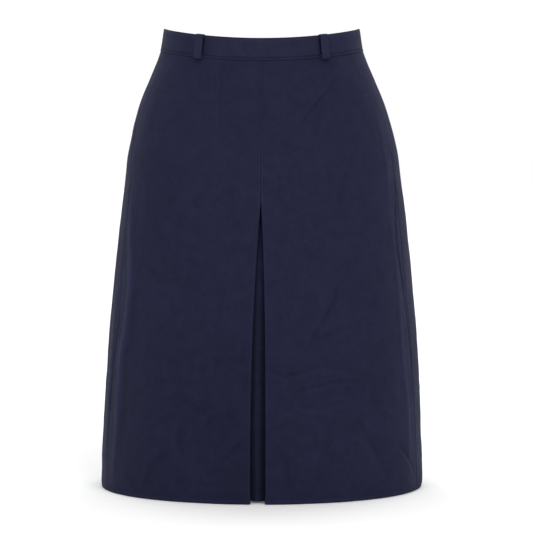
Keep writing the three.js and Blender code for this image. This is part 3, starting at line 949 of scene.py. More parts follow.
@dataclass
class Panel:
    """What the skirt's panels share: the form, the cloth and how edges are turned.

    Drops are columns of numbers, one for each row of the panel's mesh, and angles are
    (rows, columns).
    """

    form: WornForm
    side: Side
    name: str = ""
    node: str = ""
    cloth: float = 0.9  # wall of one layer
    hem_cloth: float = 2.1  # wall of the turned hem
    hem_turn: float = 10.0
    hem_drop: float = 617.0
    hem_stitch: float = 7.5  # row of stitches above the hem's edge
    top_drop: float = 30.1  # upper edge, against the band's lower edge
    seam_radius: float = 0.55  # radius of the cloth's middle where an edge turns at a seam
    seam_gap: float = 0.0  # sewn edges just touch
    allowance: float = 12.0
    rows: int = 220
    columns: int = 160
    crowding: float = 0.7  # how much closer together the columns are near the edges
    top_rows: tuple[float, ...] = (0, 0.3, 0.7, 1.3, 2.2)  # rows below the upper edge
    first_row: float = 3.5  # first of the evenly spaced rows below it
    above_turn: float = 0.5  # rows on either side of the hem's turned upper edge
    below_turn: float = 0.1
    hem_tip: float = 0.08  # share of the hem's wall at its very edge
    hem_sink: float = 0.08  # how deep the hem's thread lies in the cloth
    phase: float = 1.0  # where the seams' puckers start
    waves: Waves = ((5.3, 1.0, 1), (3.1, 0.7, 2), (11.7, 0.8, 3))  # the puckers, in such phases
    pucker_fade: Streak = Streak(0.07, 0.0, 7.0)  # the puckers' height beside a seam
    band_dent: Streak = Streak(0.4, 0.0, 0.8)  # how far sewing draws the cloth in: at the band
    row_dent: Streak = Streak(0.1, 0.0, 1.1)  # and at the hem's row of stitches
    band_shade: Streak = Streak(0.3, 0.0, 0.8)  # painted shade just below the band's seam
    hem_rub: Streak = Streak(0.17, 3.0, 2.2)  # paler cloth above the hem's edge

    def drops(self) -> np.ndarray:
        """Drops of the rows, close together round the hem's lower edge."""
        round_from = self.hem_drop - self.hem_cloth / 2
        top, first = self.top_drop + np.array(self.top_rows), self.top_drop + self.first_row
        body = np.linspace(first, self.hem_top() - self.above_turn, self.rows)
        hem = np.linspace(self.hem_top() + self.below_turn, round_from, 10)
        edge = round_from + self.hem_cloth / 2 * np.sin(np.linspace(0, math.pi / 2, 7)[1:])
        return np.concatenate([top, body, hem, edge])[:, None]

    def hem_top(self) -> float:
        """Drop of the hem's turned upper edge."""
        return self.hem_drop - self.hem_turn

    def wall_at(self, drop: np.ndarray) -> np.ndarray:
        """Thickness of the wall: one layer, then the turned hem with a round lower edge."""
        below = (drop - self.hem_drop) / (self.hem_cloth / 2) + 1
        round_edge = np.sqrt(1 - np.clip(below, 0, 1) ** 2)
        hem = self.hem_cloth * np.maximum(round_edge, self.hem_tip)
        return np.where(drop < self.hem_top(), self.cloth, hem)

    def middle_at(self, drop: np.ndarray) -> np.ndarray:
        """Distance of the wall's middle from the outer face."""
        return np.where(drop < self.hem_top(), self.cloth, self.hem_cloth) / 2

    def edge_inset(self) -> float:
        """Distance from a seam's line to where the cloth starts to turn back."""
        return self.seam_gap + self.seam_radius + self.cloth / 2

    def pucker(self, drop: np.ndarray, distance: np.ndarray, phase: float) -> np.ndarray:
        """Small uneven swells that a seam draws in the cloth beside it.

        Args:
            drop: distances below the waist.
            distance: distances from the seam.
            phase: where the swells start.

        Returns:
            Distance drawn in.
        """
        swings = (high * np.sin(drop / long + turns * phase) for long, high, turns in self.waves)
        return sum(swings) * self.pucker_fade.at(distance)

    def drawn(
        self, drop: np.ndarray, turns: np.ndarray, edges: tuple, speed: np.ndarray
    ) -> np.ndarray:
        """How the sewing of all edges draws the panel in.

        Args:
            drop: distances below the waist.
            turns: angles at which it is wanted.
            edges: angles of the two upright seams.
            speed: angle that covers a millimetre.

        Returns:
            Distance drawn in.
        """
        draw = self.band_dent.at(drop - self.top_drop) + self.row_dent.at(drop - self.row_drop())
        for count, edge in enumerate(edges):
            draw = draw + self.pucker(drop, np.abs(turns - edge) / speed, self.phase + 2 * count)
        return draw

    def row_drop(self) -> np.ndarray:
        """Drop of the row of stitches above the hem, as one row of one number."""
        return np.array([[self.hem_drop - self.hem_stitch]])

    def hem_row(self, seam: np.ndarray, centre: np.ndarray, count: int) -> np.ndarray:
        """Points of the row of stitches above the hem, from one angle to another."""
        around = seam + (centre - seam) * np.linspace(0, 1, count)
        return self.form.points(self.row_drop(), around, self.hem_sink)[0]

    def flap(self, drop: np.ndarray, first: np.ndarray, last: np.ndarray) -> np.ndarray:
        """The seam allowance, flat behind the panel from one angle to another."""
        turns = first + (last - first) * np.linspace(0, 1, 5)
        return self.form.points(drop, turns, self.middle_at(drop) + 2 * self.seam_radius)

    def turned_edge(
        self, drop: np.ndarray, turn: np.ndarray, heading: float, radius: np.ndarray, steps: int = 6
    ) -> np.ndarray:
        """Half-round turn of the cloth from its outer run to the layer behind.

        Args:
            drop: distances below the waist.
            turn: angles at which the outer run ends.
            heading: 1 towards larger angles and -1 towards smaller ones.
            radius: radius of the cloth's middle in the turn.
            steps: number of points after the outer run's own.

        Returns:
            The points after the outer run's last one, as (rows, steps, 3).
        """
        middle = self.middle_at(drop)
        outer = self.form.points(drop, turn, middle)
        centre = self.form.points(drop, turn, middle + radius)
        outward = (outer - centre) / np.linalg.norm(outer - centre, axis=-1, keepdims=True)
        forward = heading * np.stack([-outward[..., 1], outward[..., 0], 0 * outward[..., 0]], -1)
        angles = np.linspace(0, math.pi, steps + 1)[1:, None]
        reach = outward * np.cos(angles) + forward * np.sin(angles)
        return centre + np.reshape(radius, (-1, 1, 1)) * reach

    def path(self, drop: np.ndarray) -> np.ndarray:
        """Plan of the panel at each drop, as (rows, columns, 3)."""
        raise NotImplementedError

    def wear(self, drop: np.ndarray, run: np.ndarray) -> np.ndarray:
        """Paler worn edges and painted highlights, above 0, and painted shade, below 0.

        Args:
            drop: distances below the waist.
            run: distances along the cloth from its first edge.

        Returns:
            The share of brightness gained.
        """
        brightening = self.hem_rub.at(self.hem_drop - drop)
        return brightening - self.band_shade.at(drop - self.top_drop) + 0 * run

    def stitch_lines(self) -> list[np.ndarray]:
        """Rows of stitches that show on the panel."""
        return []

    def wall(self) -> Wall:
        """The panel's wall, with its flat cloth measured along its rows."""
        drop = self.drops()
        path = self.path(drop)
        half = level_normals(path) * self.wall_at(drop)[..., None] / 2
        run = lengths_along(path)
        cloth = np.stack([run, np.broadcast_to(-drop, run.shape)], axis=-1)
        # painted shade in creases and painted highlights on their ridges come from the form
        wear = self.wear(drop, run) + self.form.fading(drop, self.form.turn_of(path, drop))
        return Wall(path + half, path - half, cloth, wear)

    def build(self) -> bpy.types.Object:
        """Makes and dresses the panel and its thread.

        Returns:
            The panel.
        """
        wall = self.wall()
        panel = DRESSER.dress(wall.build(self.name), TWILL, BODY)
        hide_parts(self.node)
        lines, threads = self.stitch_lines(), []
        if lines:
            stitches = StitchRun(seed=round(10 * self.phase))
            threads = [stitches.sew(f"{self.name}_thread", lines, THREAD)]
        return panel

    def rests(self) -> list[str]:
        """Pieces that the panel hangs from."""
        return ["waist_band"]


@dataclass(frozen=True)
class Hang:
    """What differs from one front panel to the other."""

    at_hem: float  # distance of the pleat's edge from the centre line at the hem
    ease: float  # how early the pleat opens; 1 is evenly
    low_shade: float  # painted shade: share of brightness lost at the hem


@dataclass
class FrontPanel(Panel):
    """A front panel: side seam, front, and the centre edge turned back as the pleat return."""

    centre_x: float = -2.0
    pleat_top: float = 151.0
    pleat_apex: float = 215.0
    pleat_return: float = 48.0
    widening: float = 20.0  # drop over which the return widens, down to its full width
    pocket_depth: float = 13.0
    pocket_ease: float = 1.6
    edge_radius: float = 1.3
    stitch_inset: float = 3.0
    stitch_top: float = 31.0
    stitch_sink: float = 0.2  # how deep the edge stitching's thread lies in the cloth
    edge_steps: int = 8
    return_steps: int = 13
    stitch_dent: Streak = Streak(0.3, 0.0, 0.8)  # how the edge stitching draws the cloth in
    dent_end: Ramp = Ramp(-14, 2)  # drops round the pleat's apex over which that stops
    seam_end: Ramp = Ramp(-6, 6)  # and over which the seam's wear gives way to the open edge's
    softer: Ramp = Ramp(120, 240)  # drops over which the centre edge gets softer
    seam_rub: Streak = Streak(1.0, 0.8, 0.8)  # where the centre seam's edge is rubbed
    rub_least: float = 0.1  # how much paler it is there, at the top
    rubbed_more: Ramp = Ramp(125, 165, 0.24)  # and how much more lower down
    row_shade: Streak = Streak(0.1, 0.0, 0.6)  # painted shade along the edge stitching
    open_rub: Streak = Streak(0.12, 0.0, 1.5)  # paler open edge of the pleat
    inside_shade: Ramp = Ramp(2, 6, 0.4)  # painted shade on the cloth turned back in the pleat
    pleat_shade: Ramp = Ramp(380, 520, 0.07)  # painted shade beside the open pleat
    pleat_reach: Ramp = Ramp(10, 70)  # distances over which that fades
    hip_rub: float = 0.05  # painted light: paler cloth over the hips
    # drops over which the painted light of the hips gives way to the painted shade at the hem
    below_hip: Ramp = Ramp(120, 560)

    def hang(self) -> Hang:
        """How the panel of this side hangs."""
        return Hang(6.1, 4.0, 0.05) if self.side is Side.LEFT else Hang(14.4, 2.4, 0.13)

    def opening(self, drop: np.ndarray) -> np.ndarray:
        """Distance of the pleat's edge from the centre line."""
        return self.hang().at_hem * self.opened(drop, self.hang().ease)

    def opened(self, drop: np.ndarray, ease: float) -> np.ndarray:
        """Share of the pleat's opening, from 0 at its apex to 1 at the hem."""
        along = np.clip((drop - self.pleat_apex) / (self.hem_drop - self.pleat_apex), 0, 1)
        return 1 - (1 - along) ** ease

    def pocket(self, drop: np.ndarray) -> np.ndarray:
        """How far the return and the underlay hang back."""
        return self.pocket_depth * self.opened(drop, self.pocket_ease)

    def radius_at(self, drop: np.ndarray) -> np.ndarray:
        """Radius of the centre edge: tight at the seam, softer along the open pleat."""
        return self.seam_radius + (self.edge_radius - self.seam_radius) * self.softer.at(drop)

    def fold_turn(self, drop: np.ndarray) -> np.ndarray:
        """Angle at which the panel starts to turn back at the centre."""
        inset = self.opening(drop) + self.seam_gap + self.radius_at(drop) + self.cloth / 2
        across = self.centre_x + self.side.value * inset - self.form.value("shift", drop)
        return np.arcsin(across / self.form.value("half", drop))

    def seam_turn(self, drop: np.ndarray) -> np.ndarray:
        """Angle at which the panel starts to turn back at the side seam."""
        seam = np.radians(self.form.value("seam", drop))
        return self.side.value * (seam - self.form.turn_for(self.edge_inset(), drop, seam))

    def return_turn(self, drop: np.ndarray) -> np.ndarray:
        """Angle at which the return ends."""
        grown = np.clip((drop - self.pleat_top + self.widening) / self.widening, 0, 1)
        width = self.allowance + (self.pleat_return - self.allowance) * grown
        start = self.fold_turn(drop)
        return start + self.side.value * self.form.turn_for(width, drop, start)

    def stitch_reach(self) -> float:
        """Distance from where the centre edge turns back to its row of stitches."""
        return self.stitch_inset - self.cloth / 2 - self.seam_radius

    def front_draw(self, drop: np.ndarray, turns: np.ndarray) -> np.ndarray:
        """Puckers along both seams and the dent of the centre edge's stitching."""
        fold, speed = self.fold_turn(drop), self.form.turn_for(1.0, drop, self.fold_turn(drop))
        draw = self.drawn(drop, turns, (fold, self.seam_turn(drop)), speed)
        sewn = 1 - self.dent_end.at(drop - self.pleat_apex)
        return draw + sewn * self.stitch_dent.at(np.abs(turns - fold) / speed - self.stitch_reach())

    def path(self, drop: np.ndarray) -> np.ndarray:
        """Plan of the panel, from the seam allowance to the end of the pleat return."""
        form, side, middle = self.form, self.side.value, self.middle_at(drop)
        seam, fold, radius = self.seam_turn(drop), self.fold_turn(drop), self.radius_at(drop)
        far = seam - side * form.turn_for(self.allowance, drop, seam)
        turns = seam + (fold - seam) * eased(self.columns, self.crowding)
        along = np.linspace(0, 1, self.return_steps + 1)[1:]
        slant = self.pocket(drop) * smoothstep(along, 0, 1)
        turned = fold + (self.return_turn(drop) - fold) * along
        return np.concatenate([
            self.flap(drop, far, seam)[:, :-1],
            self.turned_edge(drop, seam, side, self.seam_radius)[:, ::-1],
            form.points(drop, turns, middle + self.front_draw(drop, turns)),
            self.turned_edge(drop, fold, -side, radius, self.edge_steps),
            form.points(drop, turned, middle + 2 * radius + slant),
        ], axis=1)

    def wear(self, drop: np.ndarray, run: np.ndarray) -> np.ndarray:
        """Paler worn centre edge and hem; painted light on the hips; painted shade at stitches,
        pleat and hem.
        """
        fold = run.shape[1] - self.return_steps - self.edge_steps - 1
        away = run[:, [fold]] - run  # from the centre edge, below 0 once turned back
        rub = (self.rub_least + self.rubbed_more.at(drop)) * self.seam_rub.at(away)
        seam = rub - self.row_shade.at(away - self.stitch_reach())
        open_edge = self.open_rub.at(away) - self.inside_shade.at(-away)
        sewn = 1 - self.seam_end.at(drop - self.pleat_apex)
        near_pleat = self.pleat_shade.at(drop) * (1 - self.pleat_reach.at(away))
        # painted light over the hips, giving way to painted shade towards the hem
        lost = (self.hip_rub + self.hang().low_shade) * self.below_hip.at(drop)
        edge = sewn * seam + (1 - sewn) * open_edge
        return super().wear(drop, run) + edge + self.hip_rub - lost - near_pleat

    def stitch_lines(self) -> list[np.ndarray]:
        """Edge stitching beside the centre seam, and the row above the hem."""
        drop = np.linspace(self.stitch_top, self.pleat_apex - 1, 120)[:, None]
        fold, low = self.fold_turn(drop), self.row_drop()
        edge = fold + self.side.value * self.form.turn_for(self.stitch_reach(), drop, fold)
        hem = self.hem_row(self.seam_turn(low), self.fold_turn(low), 160)
        return [self.form.points(drop, edge, self.stitch_sink)[:, 0], hem]


@dataclass
class PleatUnderlay(Panel):
    """The underlay, sewn behind the ends of the two returns."""

    fronts: tuple[FrontPanel, ...] = ()
    hem_drop: float = 615.2
    top_drop: float = 151.0
    rows: int = 120
    columns: int = 60
    lay_gap: float = 0.4
    solid_radius: float = 1.6  # edge radius and wall that set how deep the solid lies
    solid_cloth: float = 1.2
    bow: float = 0.5  # share of the pocket by which its middle comes forward
    bow_width: float = 9.0
    bow_shift: float = -1.2  # how far the place that shows lies from the opening's middle
    ripple: float = 0.35  # height of its soft upright waves
    ripple_turns: float = 23.0  # radians of them from edge to edge
    ripple_slant: float = 60.0  # drop over which they move on by a radian
    open_shade: float = 0.14  # painted shade: share of brightness lost where it shows
    edge_shade: float = 0.35  # and more painted shade where the fronts overhang it
    below_apex: Ramp = Ramp(225, 300, 0.6)  # drops over which the painted shade at the apex fades

    def path(self, drop: np.ndarray) -> np.ndarray:
        """Plan of the underlay, from the wearer's right return to the left one."""
        pocket = self.fronts[0].pocket(drop)
        inward = 2 * self.solid_radius + 1.5 * self.solid_cloth + self.lay_gap + pocket
        first, last = (panel.return_turn(drop) for panel in self.fronts)
        along = np.linspace(0, 1, self.columns)
        turns = first + (last - first) * along
        forward = self.bow * pocket * self.shown(drop, turns)
        wave = np.sin(along * self.ripple_turns + drop / self.ripple_slant)
        ripple = self.ripple * wave * np.sin(math.pi * along)
        return self.form.points(drop, turns, inward - forward + ripple)

    def shown(self, drop: np.ndarray, turns: np.ndarray) -> np.ndarray:
        """1 in the middle of the pleat's opening, falling off towards its edges."""
        openings = [panel.side.value * panel.opening(drop) for panel in self.fronts]
        middle = self.fronts[0].centre_x + sum(openings) / 2 + self.bow_shift
        across = self.form.value("shift", drop) + self.form.value("half", drop) * np.sin(turns)
        return np.exp(-(((across - middle) / self.bow_width) ** 2))

    def wear(self, drop: np.ndarray, run: np.ndarray) -> np.ndarray:
        """Painted shade, deepest where the fronts overhang it and near the apex."""
        first, last = (panel.return_turn(drop) for panel in self.fronts)
        turns = first + (last - first) * np.linspace(0, 1, run.shape[1])
        shaded_by_fronts = self.edge_shade * (1 - self.shown(drop, turns) ** 1.5)
        near_apex = self.below_apex.strength - self.below_apex.at(drop)
        return -(self.open_shade + shaded_by_fronts + near_apex)

    def rests(self) -> list[str]:
        """Pieces that the underlay hangs from."""
        return [panel.name for panel in self.fronts]


@dataclass
class BackPanel(Panel):
    """A back panel, from the side seam to the concealed zip at the centre back."""

    def seam_turn(self, drop: np.ndarray) -> np.ndarray:
        """Angle at which the panel starts to turn back at the side seam, without its sign."""
        seam = np.radians(self.form.value("seam", drop))
        return seam + self.form.turn_for(self.edge_inset(), drop, seam)

    def centre_turn(self, drop: np.ndarray) -> np.ndarray:
        """Angle at which the panel starts to turn back at the centre back, without its sign."""
        return math.pi - self.form.turn_for(self.edge_inset(), drop, math.pi)

    def path(self, drop: np.ndarray) -> np.ndarray:
        """Plan of the panel, with an allowance turned back at both edges."""
        form, side, middle = self.form, self.side.value, self.middle_at(drop)
        seam, centre = self.seam_turn(drop), self.centre_turn(drop)
        far = seam + form.turn_for(self.allowance, drop, seam)
        near = centre - form.turn_for(self.allowance, drop, centre)
        turns = seam + (centre - seam) * eased(self.columns, self.crowding)
        draw = self.drawn(drop, turns, (seam, centre), form.turn_for(1.0, drop, math.pi))
        return np.concatenate([
            self.flap(drop, side * far, side * seam)[:, :-1],
            self.turned_edge(drop, side * seam, -side, self.seam_radius)[:, ::-1],
            form.points(drop, side * turns, middle + draw),
            self.turned_edge(drop, side * centre, side, self.seam_radius),
            self.flap(drop, side * centre, side * near)[:, 1:],
        ], axis=1)

    def stitch_lines(self) -> list[np.ndarray]:
        """The row of stitches above the hem."""
        low, side = self.row_drop(), self.side.value
        return [self.hem_row(side * self.seam_turn(low), side * self.centre_turn(low), 200)]


# ---------------------------------------------------------------- waistband and loops


FRONT_LOOP, BACK_LOOP = 37.0, 143.0  # degrees from the centre front at which the loops stand
BAND_MIDDLE = 15.0  # drop halfway down the band


@dataclass
class Waistband:
    """The waistband: one strip folded along its top edge and open at the centre back."""

    form: WornForm
    proud: float = 0.5
    thickness: float = 2.4
    cloth: float = 0.95
    gap: float = 0.03
    notch_gap: float = 0.85
    notch: tuple[float, float] = (6.4, 13.6)  # drops between which the ends clear the slider
    notch_ease: float = 0.8  # drop over which they part and meet
    stitch_drop: float = 26.4
    columns: int = 420
    loops: tuple[float, ...] = (FRONT_LOOP, -FRONT_LOOP, BACK_LOOP, -BACK_LOOP)
    swell: float = 0.18  # how far its middle stands out between the sewn edges
    row_dent: Streak = Streak(0.34, 0.0, 0.9)  # how far its stitching draws it in
    lip_dent: Streak = Streak(0.5, 30.0, 0.7)  # and the seam at its lower edge
    lip_rows: tuple[float, ...] = (29.85, 29.4, 28.6)  # drops of rows close to that edge
    first_row: float = 27.8  # drop of the first of the evenly spaced rows
    top_inset: float = 0.5  # drop of the cloth's middle at the fold
    inner_start: float = 0.8  # how far below the fold's turn the inner layer's rows start
    inner_end: float = 30.3  # drop at which the inner layer ends
    thread_rise: float = 0.28  # how far the thread stands off the cloth
    thread_end: float = 0.02  # radians by which it stops short of the ends
    puckers: Waves = ((1 / 31, 0.06, 0), (1 / 53, 0.05, 1), (1 / 17, 0.05, 2))
    pucker_fade: Streak = Streak(1.0, 0.0, 5.0)
    shades: tuple[Streak, ...] = (
        Streak(0.35, 30.0, 0.8),  # painted shade along the lower seam
        Streak(0.4, 26.4, 0.9),  # and the stitching
        Streak(0.7, 0.4, 0.6),  # and on the fold at the top
        Streak(-0.22, 2.8, 1.8),  # and a painted highlight just below the fold
    )
    loop_shade: Ramp = Ramp(3.4, 5.6, 0.55)  # painted shade on the band behind the loops, from a loop's middle outward

    def profile(self) -> np.ndarray:
        """Middle of the cloth in section, as rows of (drop, outward), from the outer lower edge."""
        outer, inner = self.proud - self.cloth / 2, self.proud - self.thickness + self.cloth / 2
        radius = (outer - inner) / 2
        even = np.linspace(self.first_row, radius + self.top_inset, 22)
        drops = np.concatenate([self.lip_rows, even])
        above_row = np.clip((self.stitch_drop - drops) / self.stitch_drop, 0, 1)
        dents = self.row_dent.at(drops - self.stitch_drop) + self.lip_dent.at(drops)
        out = outer + self.swell * np.sin(math.pi * above_row) - dents
        angles = np.linspace(0, math.pi, 9)
        over = self.top_inset + radius * (1 - np.sin(angles))
        top = (over, inner + radius + radius * np.cos(angles))
        inside = (np.linspace(radius + self.inner_start, self.inner_end, 14), np.full(14, inner))
        return np.concatenate([np.stack(run, axis=-1) for run in ((drops, out), top, inside)])

    def sweep(self, profile: np.ndarray) -> np.ndarray:
        """Carries a section round the waist.

        Args:
            profile: rows of (drop, outward).

        Returns:
            Points as (columns, rows of the section, 3).
        """
        drop, out = profile[:, 0], profile[:, 1]
        low, high, ease = *self.notch, self.notch_ease
        open_end = smoothstep(drop, low - ease, low) * (1 - smoothstep(drop, high, high + ease))
        gap = self.gap + (self.notch_gap - self.gap) * open_end
        end = math.pi - self.form.turn_for(gap, drop, math.pi)
        along = np.linspace(-1, 1, self.columns)[:, None]
        turn = along * end[None, :]
        drawn = sum(high * np.sin(turn / long + phase) for long, high, phase in self.puckers)
        near = self.pucker_fade.at(drop - self.stitch_drop) * self.outside(out)
        return self.form.points(drop[None, :], turn, -(out[None, :] + drawn * near[None, :]))

    def outside(self, out: np.ndarray) -> np.ndarray:
        """Which of the section's points lie in the outer layer."""
        return out > self.proud - self.thickness / 2

    def build(self) -> bpy.types.Object:
        """Makes and dresses the waistband and its topstitching."""
        section = np.column_stack([self.profile(), np.zeros(len(self.profile()))])
        normals = level_normals(section) * self.cloth / 2
        outer = self.sweep((section + normals)[:, :2])
        inner = self.sweep((section - normals)[:, :2])
        run = lengths_along(section)
        around = np.linspace(0, self.girth(), self.columns)
        cloth = np.stack(np.broadcast_arrays(around[:, None], run[None, :]), axis=-1)
        wear = self.wear(section[:, 0], section[:, 1])
        band = DRESSER.dress(Wall(outer, inner, cloth, wear).build("waist_band"), LIT_BAND_TWILL, BODY)
        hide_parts("waistband")
        end = math.pi - self.thread_end
        turns = np.linspace(-end, end, 600)
        line = self.form.points(self.stitch_drop, turns, -self.proud + self.thread_rise)
        thread = StitchRun(seed=3).sew("waist_band_thread", [line], THREAD)
        flat = (float(run[-1]) * MM, self.girth() * MM)
        return band

    def wear(self, drop: np.ndarray, out: np.ndarray) -> np.ndarray:
        """Painted shade behind the loops, at the lower seam, stitching and top fold; painted
        highlight below it.

        Args:
            drop: drops of the section's points.
            out: their distances outward.

        Returns:
            The share of brightness gained, as (columns, points of the section).
        """
        turn = np.linspace(-math.pi, math.pi, self.columns)[:, None]
        along = sum(shade.at(drop) for shade in self.shades)
        behind = 0
        for middle in np.radians(self.loops):
            away = np.abs(turn - middle) / self.form.turn_for(1.0, BAND_MIDDLE, middle)
            behind = behind + self.loop_shade.strength - self.loop_shade.at(away)
        return -along[None, :] - behind * self.outside(out)[None, :]

    def girth(self) -> float:
        """Length of the band round the waist, halfway down it."""
        ring = self.form.points(BAND_MIDDLE, np.linspace(-math.pi, math.pi, 400), 0.0)
        return float(lengths_along(ring)[-1])


@dataclass
class BeltLoop:
    """A belt loop: a strip of folded cloth that stands off the band, its ends turned under."""

    form: WornForm
    name: str
    degrees: float
    width: float = 11.0
    cloth: float = 1.3
    gap: float = 6.5
    proud: float = 0.5
    seam_gap: float = 0.3
    top: float = -1.2
    bottom: float = 31.4
    foot: float = 6.0
    columns: int = 19
    end_bend: float = 1.4  # where the strip's bends start, at the band
    corner_bend: float = 2.6  # and at its outer corners
    roundness: int = 8  # how squarely the strip's edges are rounded
    stitch_inset: float = 1.6
    corner_gap: float = 1.5  # how near the outer face the rows of stitches start
    middle_rub: float = 0.08  # paler cloth along its middle
    edge_rub: Streak = Streak(0.22, 0.78, 0.14)  # painted highlight beside its edges, placed in shares of half its width
    edge_shade: float = 0.25  # painted shade right on its edges

    def profile(self) -> np.ndarray:
        """Middle of the strip in side view, as rows of (drop, outward, 0)."""
        low = self.proud + self.seam_gap + self.cloth / 2
        high = self.proud + self.gap + self.cloth / 2
        top, bottom = self.top + self.cloth / 2, self.bottom - self.cloth / 2
        corners = (
            ((self.top + self.foot, low), 0.0),
            ((top, low), self.end_bend),
            ((top, high), self.corner_bend),
            ((bottom, high), self.corner_bend),
            ((bottom, low), self.end_bend),
            ((self.bottom - self.foot, low), 0.0),
        )
        return rounded_path(corners, 6)

    def across(self, face: np.ndarray, offsets: np.ndarray) -> np.ndarray:
        """Places rows of (drop, outward, 0) at offsets to each side of the loop's middle."""
        middle = math.radians(self.degrees)
        turn = middle + self.form.turn_for(1.0, BAND_MIDDLE, middle) * offsets[:, None]
        drop, out = face[..., 0], face[..., 1]
        return self.form.points(drop, turn, -out)

    def build(self) -> bpy.types.Object:
        """Makes and dresses the loop and its two rows of edge stitching."""
        profile = self.profile()
        normals, run = level_normals(profile), lengths_along(profile)
        offsets = self.width / 2 * np.sin(np.linspace(-math.pi / 2, math.pi / 2, self.columns))
        aside = np.abs(2 * offsets / self.width)
        rounded = np.clip(1 - aside**self.roundness, 0.02, 1) ** 0.5
        half = (self.cloth / 2 * rounded)[:, None, None]
        outer = self.across(profile[None] + normals[None] * half, offsets)
        inner = self.across(profile[None] - normals[None] * half, offsets)
        cloth = np.stack(np.broadcast_arrays(offsets[:, None], run[None, :]), axis=-1)
        # paler middle, painted highlights beside the edges and painted shade right on them
        brightening = self.middle_rub + self.edge_rub.at(aside) - self.edge_shade * aside**6
        wear = np.broadcast_to(brightening[:, None], cloth.shape[:2]).copy()
        strip = Wall(outer, inner, cloth, wear).build(f"{self.name}_strip")
        loop = DRESSER.dress(strip, LIT_BAND_TWILL, BODY)
        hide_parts(self.name)
        outward = np.sign(normals[len(normals) // 2, 1])  # the way normals point along the strip
        thread = self.sew_edges(profile + normals * (outward * self.cloth / 2))
        return loop

    def sew_edges(self, face: np.ndarray) -> bpy.types.Object:
        """Sews a row of stitches near both long edges.

        Args:
            face: the strip's outer face, as rows of (drop, outward, 0).

        Returns:
            The thread.
        """
        shown = face[face[:, 1] > self.proud + self.gap - self.corner_gap, 0]
        drops = np.linspace(shown.min() + 0.5, shown.max() - 0.5, 30)
        out = np.full(30, self.proud + self.gap + self.cloth)
        line = np.stack([drops, out, np.zeros(30)], axis=-1)
        inset = self.width / 2 - self.stitch_inset
        rows = self.across(line[None], np.array([-inset, inset]))
        stitches = StitchRun(pitch=2.6, length=2.0, thickness=0.36, seed=5)
        return stitches.sew(f"{self.name}_thread", list(rows), THREAD)


def rounded_path(corners: tuple, steps: int) -> np.ndarray:
    """A path with rounded corners.

    Args:
        corners: pairs of a corner (x, y) and the distance at which its rounding starts.
        steps: steps in each rounding.

    Returns:
        Rows of (x, y, 0).
    """
    points = []
    for index, (at, radius) in enumerate(corners):
        corner = np.array(at, float)
        if not radius:
            points.append(corner)
            continue
        before = np.array(corners[index - 1][0], float) - corner
        after = np.array(corners[index + 1][0], float) - corner
        start = corner + before / np.linalg.norm(before) * radius
        end = corner + after / np.linalg.norm(after) * radius
        for t in np.linspace(0, 1, steps + 1):
            points.append((1 - t) ** 2 * start + 2 * t * (1 - t) * corner + t * t * end)
    return np.column_stack([np.array(points), np.zeros(len(points))])


# ---------------------------------------------------------------- concealed zip


@dataclass
class ConcealedZip:
    """The zip's tapes, coil, slider and pull tab."""

    form: WornForm
    slider_drop: float = 10.0
    coil_inward: float = 4.1
    coil_bottom: float = 186.0
    coil_aside: float = 0.75  # each half's distance from the centre back
    below_slider: float = 5.0
    tape_width: float = 0.0121  # metres
    tape_share: float = 0.97  # a tape's own length against its box's diagonal
    bevel: float = 0.12
    bevel_from: float = 35.0  # degrees from which an edge is softened
    sharp_from: float = 40.0  # degrees from which an edge is left sharp

    def tapes(self) -> None:
        """Dresses the two tapes, whose solids already have their shape."""
        for side in Side:
            tape = frame["nodes"][f"zip_tape_{side.word}"]
            points = np.empty(3 * len(tape.data.vertices))
            tape.data.vertices.foreach_get("co", points)
            add_cloth_map(tape.data, points.reshape(-1, 3)[:, [0, 2]] * 100)
            DRESSER.dress(tape, TAPE, BODY)

    def coil(self) -> bpy.types.Object:
        """The closed coil, inside the seam below the slider."""
        drops = np.linspace(self.slider_drop + self.below_slider, self.coil_bottom, 260)
        lines = []
        for offset in (-self.coil_aside, self.coil_aside):
            turn = math.pi - self.form.turn_for(offset, drops, math.pi)
            lines.append(self.form.points(drops, turn, self.coil_inward))
        teeth = StitchRun(pitch=1.3, length=0.9, thickness=1.6, wander=0.0, seed=1)
        return teeth.sew("zip_coil", lines, COIL)

    def hardware(self) -> None:
        """Replaces the slider and the pull by copies with softened edges."""
        for node, body in (("zip_slider", BODY), ("zip_pull", "pull_tab")):
            piece = mesh_object(node + "_metal", merged_copy(node))
            edge = piece.modifiers.new("edge", "BEVEL")
            edge.width = self.bevel * MM
            edge.segments = 2
            edge.limit_method = "ANGLE"
            edge.angle_limit = math.radians(self.bevel_from)
            baked = baked_mesh(piece, node + "_soft")
            piece.modifiers.clear()
            piece.data = baked
            shade_smooth(baked, self.sharp_from)
            DRESSER.dress(piece, ZIP_METAL, body)
            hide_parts(node)

    def build(self) -> None:
        """Makes every part of the zip."""
        self.tapes()
        self.coil()
        self.hardware()


def merged_copy(node: str) -> bpy.types.Mesh:
    """A copy of a solid's mesh with its loose triangles joined."""
    solid = bmesh.new()
    solid.from_mesh(frame["nodes"][node].data)
    bmesh.ops.remove_doubles(solid, verts=solid.verts, dist=1e-6)
    flat = math.radians(1)
    bmesh.ops.dissolve_limit(solid, angle_limit=flat, verts=solid.verts, edges=solid.edges)
    mesh = bpy.data.meshes.new(node + "_metal")
    solid.to_mesh(mesh)
    solid.free()
    return mesh


# ---------------------------------------------------------------- studio


@dataclass(frozen=True)
class Lamp:
    """A distant, very soft light.

    Azimuth is in degrees round from the front, towards the wearer's left, and elevation in
    degrees above the floor.
    """

    name: str
    azimuth: float
    elevation: float
    strength: float
    softness: float = 40.0  # its width in degrees

    def place(self) -> None:
        """Sets the light."""
        data = bpy.data.lights.new(self.name, "SUN")
        data.energy, data.angle = self.strength, math.radians(self.softness)
        lamp = bpy.data.objects.new(self.name, data)
        bpy.context.scene.collection.objects.link(lamp)
        lamp.rotation_euler = (math.radians(90 - self.elevation), 0, math.radians(self.azimuth))


